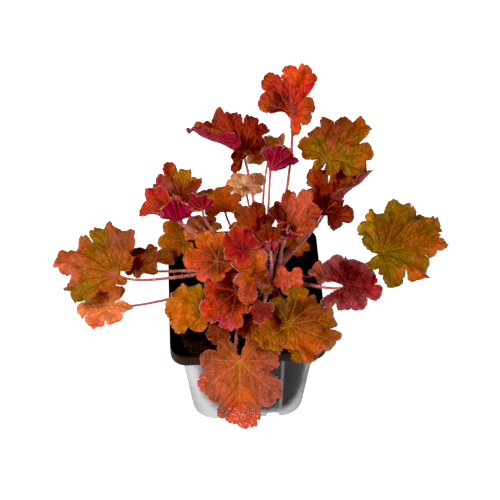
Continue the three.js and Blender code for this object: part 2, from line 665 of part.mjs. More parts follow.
// Point at share s of a ray, in the leaf's own frame, offset from the mid surface
// along the normal of the bent ray.
function bladePoint(leaf, ray, s, offset) {
  const cup = ray.root * DEGREE;
  const bend = (ray.lift - ray.root) * DEGREE;
  const slope = cup + bend * s;
  let out = ray.reach * s * Math.cos(slope);
  let up = ray.reach * s * Math.sin(slope);
  if (Math.abs(bend) > 1e-6) {
    out = (ray.reach / bend) * (Math.sin(slope) - Math.sin(cup));
    up = (ray.reach / bend) * (Math.cos(cup) - Math.cos(slope));
  }
  const [height, count, phase] = leaf.wave;
  const ripple = Math.sin(count * ray.angle * DEGREE + phase * DEGREE)
    + FINE_RIPPLE * Math.sin((count + 4) * ray.angle * DEGREE + 2 * phase * DEGREE);
  const pleat = PLEAT_HEIGHT * s * (ray.place - 0.5);
  const lift = ray.reach * (height * ripple * s * s + pleat) + offset;
  const angle = ray.angle * DEGREE;
  const radius = out - lift * Math.sin(slope);
  return [radius * Math.cos(angle), radius * Math.sin(angle), up + lift * Math.cos(slope)];
}

function bladeGeometry(leaf) {
  const rays = bladeRays(leaf);
  const count = rays.length;
  const { hub, normal, along, across } = leafFrame(leaf);
  const toWorld = ([x, y, z]) => hub.clone()
    .addScaledVector(along, x)
    .addScaledVector(across, y)
    .addScaledVector(normal, z)
    .toArray();
  const { rings } = bladeDetail(leaf);
  const sheet = [];
  const sinus = 360 - rays[count - 1].angle + rays[0].angle;
  if (sinus < WIDEST_SINUS) sheet.push([0, count, 1]);
  for (let i = 0; i < count - 1; i += 1) {
    const next = i + 1;
    sheet.push([0, 1 + i, 1 + next]);
    for (let r = 0; r < rings.length - 1; r += 1) {
      const a = 1 + r * count + i;
      const b = 1 + r * count + next;
      sheet.push([a, a + count, b + count]);
      sheet.push([a, b + count, b]);
    }
  }
  const points = [];
  for (const offset of [BLADE_HALF_THICKNESS, -BLADE_HALF_THICKNESS]) {
    points.push(toWorld([0, 0, offset]));
    for (const s of rings) for (const ray of rays) points.push(toWorld(bladePoint(leaf, ray, s, offset)));
  }
  const under = points.length / 2;
  const faces = [];
  for (const [a, b, c] of sheet) {
    faces.push([a, b, c]);
    faces.push([under + a, under + c, under + b]);
  }
  for (const [a, b] of bladeBorder(sheet)) {
    faces.push([a, under + a, under + b]);
    faces.push([a, under + b, b]);
  }
  return geometryFrom(points, faces);
}

// Edges of the sheet used by one triangle only, in the direction they are used.
function bladeBorder(sheet) {
  const used = new Set();
  for (const [a, b, c] of sheet) {
    used.add(`${a},${b}`);
    used.add(`${b},${c}`);
    used.add(`${c},${a}`);
  }
  const border = [];
  for (const key of used) {
    const [a, b] = key.split(',').map(Number);
    if (!used.has(`${b},${a}`)) border.push([a, b]);
  }
  return border;
}

// ---- assembly ----------------------------------------------------------
const plant = new THREE.Group();
plant.name = 'heuchera';
plant.add(makePot());
plant.add(makeSoil());
plant.add(makeStems());
for (const leaf of LEAVES) {
  plant.add(meshFrom(leaf.name, bladeGeometry(leaf), leaf.colour, LEAF_ROUGHNESS, 0));
}

export default plant;
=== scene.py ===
"""Looks of a young orange-leaved heuchera in its square black nursery pot.

Lengths are millimetres and angles degrees, as in the CAD source, and each mesh is scaled to
metres when it is made. Every leaf repeats the CAD blade's formulas with a toothed outline,
veins, ruffles and hairs.
"""
import itertools
import math

import bpy
import numpy as np
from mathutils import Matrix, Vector, noise
from mathutils.geometry import delaunay_2d_cdt


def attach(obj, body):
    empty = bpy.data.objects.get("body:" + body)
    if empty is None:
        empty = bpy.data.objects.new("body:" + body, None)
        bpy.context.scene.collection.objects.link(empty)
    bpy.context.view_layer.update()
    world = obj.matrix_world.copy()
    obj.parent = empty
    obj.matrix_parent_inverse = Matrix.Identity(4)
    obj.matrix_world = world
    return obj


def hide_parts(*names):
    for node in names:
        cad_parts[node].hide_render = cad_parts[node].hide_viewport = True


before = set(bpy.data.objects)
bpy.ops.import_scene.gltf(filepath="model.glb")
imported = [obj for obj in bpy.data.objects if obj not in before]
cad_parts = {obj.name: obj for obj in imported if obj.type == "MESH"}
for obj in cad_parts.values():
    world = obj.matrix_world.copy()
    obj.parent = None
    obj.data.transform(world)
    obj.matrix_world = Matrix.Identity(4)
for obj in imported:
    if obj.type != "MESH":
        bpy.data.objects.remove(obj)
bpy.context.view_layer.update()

MM = 0.001
TINY = 1e-9
SEED = 20260

# ---- camera and light ---------------------------------------------------
CAMERA_PLACE = (-21.5, -446.1, 706.4)
CAMERA_ELEVATION = 52.4
CAMERA_HEADING = -3.1
CAMERA_LENS = 93.6
CAMERA_SENSOR = 36.0
PLANT_CENTRE = (0, 0, 110)
WORLD_STRENGTH = 0.22
BLACK_LEVEL = 0.012
FLOOR_HALF = 1500
FLOOR_GLOW = 0.85
# Each lamp: place, width, power in watts.
LAMPS = [((-430, -300, 820), 320, 8.0), ((380, -450, 700), 380, 3.0)]

# ---- pot, as in the CAD source ------------------------------------------
POT_HEIGHT = 88
BODY_HEIGHT = POT_HEIGHT - 9
COLLAR_HALF_WIDTH = 45
COLLAR_CORNER_RADIUS = 9
# At the foot and at the top.
BODY_HALF_WIDTHS = (34.8, 40.2)
BODY_CORNER_RADII = (15, 14)
POT_WALL = 1.2
POT_FLOOR = 1.6
FOOT_CHAMFER = 1.2
# Rings of the skin, up the outside and down the inside: height and inset.
OUTER_BODY_RINGS = [
    (0, FOOT_CHAMFER), (0.05, 0.9), (0.35, 0.35), (0.9, 0.05), (FOOT_CHAMFER + 0.4, 0), (6, 0),
    (30, 0), (60, 0), (BODY_HEIGHT - 2.4, 0), (BODY_HEIGHT - 1.4, -0.05), (BODY_HEIGHT - 0.8, -0.5),
]
COLLAR_RINGS = [
    (BODY_HEIGHT - 0.35, 1.0), (BODY_HEIGHT - 0.05, 0.35), (BODY_HEIGHT + 0.3, 0.05),
    (BODY_HEIGHT + 0.9, 0), (POT_HEIGHT - 1.1, 0), (POT_HEIGHT - 0.45, 0.04),
    (POT_HEIGHT - 0.12, 0.2), (POT_HEIGHT, 0.5), (POT_HEIGHT, 0.75), (POT_HEIGHT - 0.12, 1.02),
    (POT_HEIGHT - 0.45, POT_WALL), (POT_HEIGHT - 1.2, POT_WALL), (BODY_HEIGHT + 2.2, POT_WALL),
    (BODY_HEIGHT + 1.3, POT_WALL + 0.2),
]
INNER_BODY_RINGS = [
    (BODY_HEIGHT + 0.2, POT_WALL - 0.3), (BODY_HEIGHT - 1.0, POT_WALL), (40, POT_WALL),
    (POT_FLOOR + FOOT_CHAMFER, POT_WALL), (POT_FLOOR, POT_WALL + FOOT_CHAMFER),
]
CORNER_STEPS = 16
# Extra columns of the straight walls, as shares of their half length.
WALL_COLUMNS = (-0.96, -0.6, 0, 0.6, 0.96)
DRAIN_OFFSET = 15
DRAIN_WIDTH = 8
DRAIN_HEIGHT = 6
DRAIN_ARCH = 2.5
DRAIN_ARCH_STEPS = 8
DRAIN_REACH = 5
DRAIN_BELOW = 2
# The painted reflection of the pale surroundings starts and is full at these sums of its corner,
# foot and dust shares.
PAINTED_REFLECTION_LIMITS = (0.5, 1.05)
PAINTED_REFLECTION_FOOT = 1.15
PAINTED_REFLECTION_SHARE = 0.6
PAINTED_REFLECTION_LEAN = -0.007
PAINTED_REFLECTION_DUST = 0.5
# Full in front of the first place along y, and the share that is left behind the second.
PAINTED_REFLECTION_FRONT = (-37, -26)
PAINTED_REFLECTION_SIDE_SHARE = 0.25
# Painted highlight: a pale vertical line on the front wall, near where its flat face meets the
# corner's curve.
HIGHLIGHT_LINE_PLACE = 19.7
HIGHLIGHT_LINE_EDGE = (0.4, 1.3)
HIGHLIGHT_LINE_STRENGTH = 0.35

# ---- soil and crown -----------------------------------------------------
SOIL_LEVEL = 79
SOIL_GAP = 0.3
SOIL_WALL_GAP = 0.05
SOIL_RINGS = 56
SOIL_SIDES = 168
SOIL_EDGE_DROP = 1.2
# Height, waves per mm, place in the noise, then its roughness, lacunarity and octaves.
SOIL_LUMPS = (1.3, 0.09, 3.0, (1.0, 2.0, 5))
SOIL_GRAINS = (0.35, 0.7, 9.0, (0.8, 2.0, 3))
CRUMB_COUNT = 420
CRUMB_SIZES = (0.5, 1.7)
CRUMB_CRUMPLE = 0.28
CRUMB_SQUASH = (0.6, 1.2)
CRUMB_WALL_GAP = 4
CRUMB_LIFT = 0.2
FIBRE_COUNT = 46
FIBRE_POINTS = 8
FIBRE_LENGTHS = (3, 9)
FIBRE_RADII = (0.12, 0.3)
FIBRE_BEND = 0.25
FIBRE_SIDES = 6
FIBRE_WALL_GAP = 8
FIBRE_LIFT = 0.35
FIBRE_ARCH = 0.5
CROWN_CENTRE = (12, 5)
CROWN_RADIUS = 8
CROWN_TOP = 87
CROWN_BOTTOM = 68
CROWN_SIDES = 40
CROWN_RINGS = 22
CROWN_KNOBS = 0.16
# Share of the radius at the bottom, and what it gains to the top.
CROWN_TAPER = (0.85, 0.15)
SHEATH_COUNT = 16
SHEATH_HEIGHTS = (6, 11)
SHEATH_RADII = (1.3, 1.9)
SHEATH_DEPTH = 7
SHEATH_PLACES = (0.3, 0.85)
SHEATH_LEAN = 0.35
SHEATH_POINTS = 9
SHEATH_SIDES = 10

# ---- leaves, as in the CAD source ---------------------------------------
CAD_HALF_THICKNESS = 0.38
CAD_GAP = 0.3
BASAL_NOTCH = 3.6
BASAL_NOTCH_SHARE = 0.6
BASAL_FLARE = 18
OUTER_SPREAD = 0.65
SINUS_LIMIT = 168
WIDEST_SINUS = 150
LOBE_ROUNDNESS = 2.4
LOBE_BLEND = 0.5
OUTER_BEND_SHARE = 0.6
LEAST_BEND = 1e-4
PLEAT_HEIGHT = 0.085
FINE_RIPPLE = 0.6
PETIOLE_SUNK = 5
PETIOLE_ROOT_SHARE = 0.55
PETIOLE_LEAN = 0.12
PETIOLE_RISE = 0.45
PETIOLE_NECK = (0.22, 0.14)

# ---- finer blade --------------------------------------------------------
HALF_THICKNESS = 0.2
RIM_THINNING = 0.55
RIM_THINNING_WIDTH = 0.5
LOBE_ANGLE_STEP = 0.1
BASAL_ANGLE_STEP = 1.0
TANGENT_REACH = 0.5
OUTLINE_STEP = 0.15
OUTLINE_SPACING_SHARE = 0.013
OUTLINE_SPACING = (0.3, 0.45)
LEAST_OUTLINE_POINTS = 24
FIELD_SPACING_SHARE = 1.6
MERGE_DISTANCE = 1e-5
CHUNK = 1500
PAST_TIP = 1.12
LEAST_HUB_REACH = 1.0
TOOTH_WIDTH_SHARE = 0.075
TOOTH_WIDTH_LEAST = 0.9
TOOTH_WIDTH_LIMITS = (1.1, 3.2)
TOOTH_WIDTH_SPREAD = 0.2
TOOTH_DEPTH_SHARES = (0.1, 0.2)
TOOTH_ROUNDNESS = 2.6
# At least the first number and fewer than the second.
TEETH_IN_GROUP = (2, 4)
GROUP_DEPTHS = (0.015, 0.05)
BARE_FLANK = 0.15
OUTWARD_SHARE = 0.4
RUFFLE_HEIGHT = 0.06
RUFFLE_LIMITS = (0.7, 1.9)
RUFFLE_WIDTH = 4.5
RUFFLE_WAVE = (8.0, 13.0)
RUFFLE_WAVES = 5
RUFFLE_START = (0.15, 0.5)
PUCKER_HEIGHT = 0.8
PUCKER_START = (0.05, 0.3)
PUCKER_MARGIN = 2
SWELL_SHARE = 0.045
SWELL_WAVE_SHARES = (0.35, 0.7)
SWELL_WAVES = 4
GROOVE_DEPTH = 0.2
GROOVE_WIDTH = 0.8
GROOVE_START = 0.15
GROOVE_THINNING = 0.6
VEIN_ANGLE = 38
VEIN_SPACING_SHARE = 0.16
VEIN_SPACING_LIMITS = (2.2, 6.0)

# ---- petioles and hairs -------------------------------------------------
PETIOLE_RADII = (1.1, 0.66)
PETIOLE_TAPER = 0.6
# Size of a petiole: start, gain per mm of the longest lobe and limits.
PETIOLE_SIZE = 0.72
PETIOLE_SIZE_GAIN = 0.01
PETIOLE_SIZE_LIMITS = (0.75, 1.08)
# Swellings: height, and reach as a share of the petiole.
PETIOLE_FOOT = (0.7, 0.05)
PETIOLE_KNEE = (0.22, 0.03)
PETIOLE_SIDES = 10
PETIOLE_STEPS = 28
PETIOLE_HAIRS_PER_MM = 10
MARGIN_HAIRS_PER_MM = {
    "olive": 0.8, "tan": 0.8, "dark": 2, "orange": 3.5, "crimson": 3.5, "salmon": 2.5,
}
FACE_HAIRS_PER_MM2 = 0.35
TUFT_WAVES = (6, 12)
TUFT_LIMITS = (-0.2, 0.7)
TUFT_LEAST = 0.04
LEAF_HAIR_RADIUS = 0.04
PETIOLE_HAIR_RADIUS = 0.06
MARGIN_HAIR_LENGTHS = (0.4, 1.0)
FACE_HAIR_LENGTHS = (0.3, 0.7)
PETIOLE_HAIR_LENGTHS = (0.6, 1.5)
HAIR_ROOT_SHARE = 0.95
MARGIN_HAIR_LEAN = 0.8
MARGIN_HAIR_SPREAD = 0.3
FACE_HAIR_SPREAD = 0.5
PETIOLE_HAIR_SPREAD = 0.35

# ---- colours and masks --------------------------------------------------
# Noises: waves per mm, detail and roughness.
FINE_NOISE = (0.9, 4.0, 0.65)
GRAIN_NOISE = (2.2, 2.0, 0.5)
MOTTLE_NOISE = (0.3, 3.0, 0.6)
SPECK_NOISE = (1.6, 2.0)
UNDER_FINE_NOISE = (0.8, 4.0, 0.6)
UNDER_BROAD_NOISE = (0.12, 2.0)
# Patches of colour: waves over the longest lobe, detail and roughness.
PATCH_NOISE = (5.0, 3.0, 0.6)
PATCH_SWING = 0.9
PATCH_DARKNESS = 0.35
# Each fade, edge and limit: the values where it starts and ends, then what it gives there
# if that isn't 0 and 1.
HUB_FADE = (0.08, 0.38)
OUTER_FADE = (0.5, 0.95)
PATCH_SHADE = (0.42, 0.7, 0.0, 0.45)
ZONE_WOBBLE = 2.6
ZONE_STRENGTH = 0.92
ZONE_EDGE = (0.5, 1.4)
# Painted shade in the folds between the lobes, away from each main vein and near the hub.
PAINTED_FOLD_SHADE_LIMITS = (0.3, 1.1)
PAINTED_FOLD_SHADE_REACH = (0.15, 0.8, 1.0, 0.0)
PAINTED_FOLD_SHADE_STRENGTH = 0.75
MOTTLE_LIGHT = (0.34, 0.68, 0.84, 1.14)
FINE_LIGHT = (0.35, 0.7, 0.85, 1.28)
GRAIN_LIGHT = (0.36, 0.5, 0.8, 1.03)
RIM_FADE = (0.05, 0.45, 0.7, 0.0)
RIM_BREAKS = (0.4, 0.6)
LEAF_ROUGHNESS = (0.3, 0.7, 0.44, 0.62)
LEAF_SPECULAR = 0.16
SPECK_LIMITS = (0.56, 0.66)
SPECK_TIP = (0.45, 0.95)
UNDER_BROAD_FADE = (0.35, 0.7)
UNDER_SHADE = 0.6
UNDER_FINE_FADE = (0.45, 0.7)
UNDER_FINE_STRENGTH = 0.15
UNDER_RIM_FADE = (0.1, 0.6, 0.7, 0.0)
UNDER_ROUGHNESS = 0.65
UNDER_SPECULAR = 0.08
MAIN_VEIN_WIDTHS = (0.0, 1.0, 0.55, 0.16)
MAIN_VEIN_EDGE = (0.4, 1.3, 1.0, 0.0)
SIDE_VEIN_EDGE = (0.08, 0.34, 1.0, 0.0)
# Side veins fade to this much over this share of their spacing.
SIDE_VEIN_FADED = 0.55
SIDE_VEIN_FADE_SHARE = 0.4
FLUSH_START = 0.3
FLUSH_END_SHARE = 0.55
FLUSH_STRENGTH = 0.15
NET_PITCH = 2.6
NET_EDGE = (0.02, 0.14, 1.0, 0.0)
# Strengths of the side veins and the net, on each side of the blade.
TOP_VEINS = (0.7, 0.22)
UNDER_VEINS = (0.8, 0.3)
UNDER_VEIN_STRENGTH = 0.5


def srgb(red, green, blue):
    """Linear colour for an sRGB colour given in 0 to 255."""
    def linear(value):
        value = value / 255
        return value / 12.92 if value <= 0.04045 else ((value + 0.055) / 1.055) ** 2.4
    return (linear(red), linear(green), linear(blue), 1.0)


OLIVE = srgb(124, 88, 8)
DEEP_OLIVE = srgb(88, 56, 8)
YELLOW_OLIVE = srgb(172, 118, 20)
AMBER = srgb(156, 80, 18)
GOLD = srgb(182, 98, 20)
OLIVE_BROWN = srgb(118, 58, 18)
LIGHT_BROWN = srgb(148, 80, 42)
BROWN = srgb(120, 48, 20)
RED_BROWN = srgb(146, 42, 20)
DARK_BROWN = srgb(62, 20, 8)
TAN = srgb(200, 132, 84)
SAND = srgb(238, 184, 132)
BRICK = srgb(166, 70, 38)
ORANGE = srgb(180, 74, 18)
BRIGHT_ORANGE = srgb(208, 98, 26)
RED_ORANGE = srgb(190, 54, 20)
APRICOT = srgb(226, 126, 72)
SALMON = srgb(190, 82, 54)
CORAL = srgb(222, 84, 62)
RED = srgb(166, 34, 30)
BRIGHT_RED = srgb(200, 36, 46)
FLAME = srgb(222, 72, 24)
CRIMSON = srgb(128, 20, 28)
DULL_RED = srgb(122, 40, 34)
MAROON = srgb(70, 10, 8)
MAGENTA = srgb(146, 6, 46)
DARK_MAGENTA = srgb(116, 6, 36)
ROSE = srgb(184, 62, 72)
ROSE_BROWN = srgb(150, 70, 52)
PINK = srgb(214, 122, 114)
PALE_PINK = srgb(236, 190, 176)
MAUVE = srgb(146, 66, 66)
YELLOW_VEIN = srgb(206, 128, 56)
RED_VEIN = srgb(206, 94, 62)
POT_BLACK = srgb(20, 19, 21)
POT_GREY = srgb(40, 36, 36)
POT_REFLECTION_WHITE = srgb(224, 222, 224)
POT_HIGHLIGHT_LINE = srgb(150, 148, 150)
POT_COLLAR = srgb(38, 24, 17)
SOIL_DARK = srgb(24, 18, 14)
SOIL_LIGHT = srgb(52, 38, 29)
SOIL_GRIT = srgb(130, 90, 58)
FIBRE_DARK = srgb(66, 44, 28)
FIBRE_LIGHT = srgb(138, 104, 70)
STALK_PINK = srgb(182, 70, 78)
STALK_RED = srgb(140, 44, 56)
STALK_STREAK = srgb(206, 132, 96)
STALK_FOOT = srgb(120, 48, 44)
FLOOR_WHITE = (0.93, 0.93, 0.935, 1.0)


def family(hub, main, outer, rim, vein, under, under_vein, vein_strength):
    """A family's colours, from the hub to the rim, along the veins and on the underside."""
    return dict(
        hub=hub, main=main, outer=outer, rim=rim, vein=vein, under=under, under_vein=under_vein,
        vein_strength=vein_strength,
    )


FAMILIES = {
    "olive": family(OLIVE_BROWN, OLIVE, AMBER, DARK_BROWN, YELLOW_OLIVE, MAUVE, PINK, 0.5),
    "dark": family(MAROON, RED_BROWN, BROWN, DARK_BROWN, RED_VEIN, MAGENTA, ROSE, 0.3),
    "tan": family(BROWN, TAN, LIGHT_BROWN, BROWN, YELLOW_VEIN, TAN, PINK, 0.3),
    "orange": family(MAROON, ORANGE, RED_ORANGE, ROSE, RED_VEIN, MAGENTA, ROSE, 0.35),
    "crimson": family(MAROON, CRIMSON, RED, ROSE, ROSE, MAGENTA, ROSE, 0.3),
    "salmon": family(ROSE_BROWN, SALMON, ORANGE, CORAL, YELLOW_VEIN, ROSE, PINK, 0.4),
}
SLOTS = {name: "leaf_" + name for name in FAMILIES}


def leaf(name, kin, place, turn, cup, wave, lobes, zones=(), rise=PETIOLE_RISE,
         neck=PETIOLE_NECK, bow=0, specks=0, **colours):
    """One leaf of a family.

    place = where the petiole meets the blade. turn = its tilt, the bearing it faces and that
    of its middle lobe. cup = slope at the hub. wave = height, number and phase of its
    ripples. lobes = rows of angle from the middle lobe, length, slope at the tip and depth
    of the notch after it, with the slope at the hub where it differs from cup. zones = rows
    of a colour with the bearing, distance and radius of its patch, as shares of the longest
    lobe. rise, neck and bow bend the petiole. colours differ from the family's.
    """
    longest = max(lobe[1] for lobe in lobes)
    return dict(
        name=name, hub=place, turn=turn, cup=cup, wave=wave, lobes=lobes, zones=zones,
        rise=rise, neck=neck, bow=bow, specks=specks, longest=longest,
        look={"family": kin, **FAMILIES[kin], **colours},
        spacing=float(np.clip(VEIN_SPACING_SHARE * longest, *VEIN_SPACING_LIMITS)),
        step=float(np.clip(OUTLINE_SPACING_SHARE * longest, *OUTLINE_SPACING)),
    )


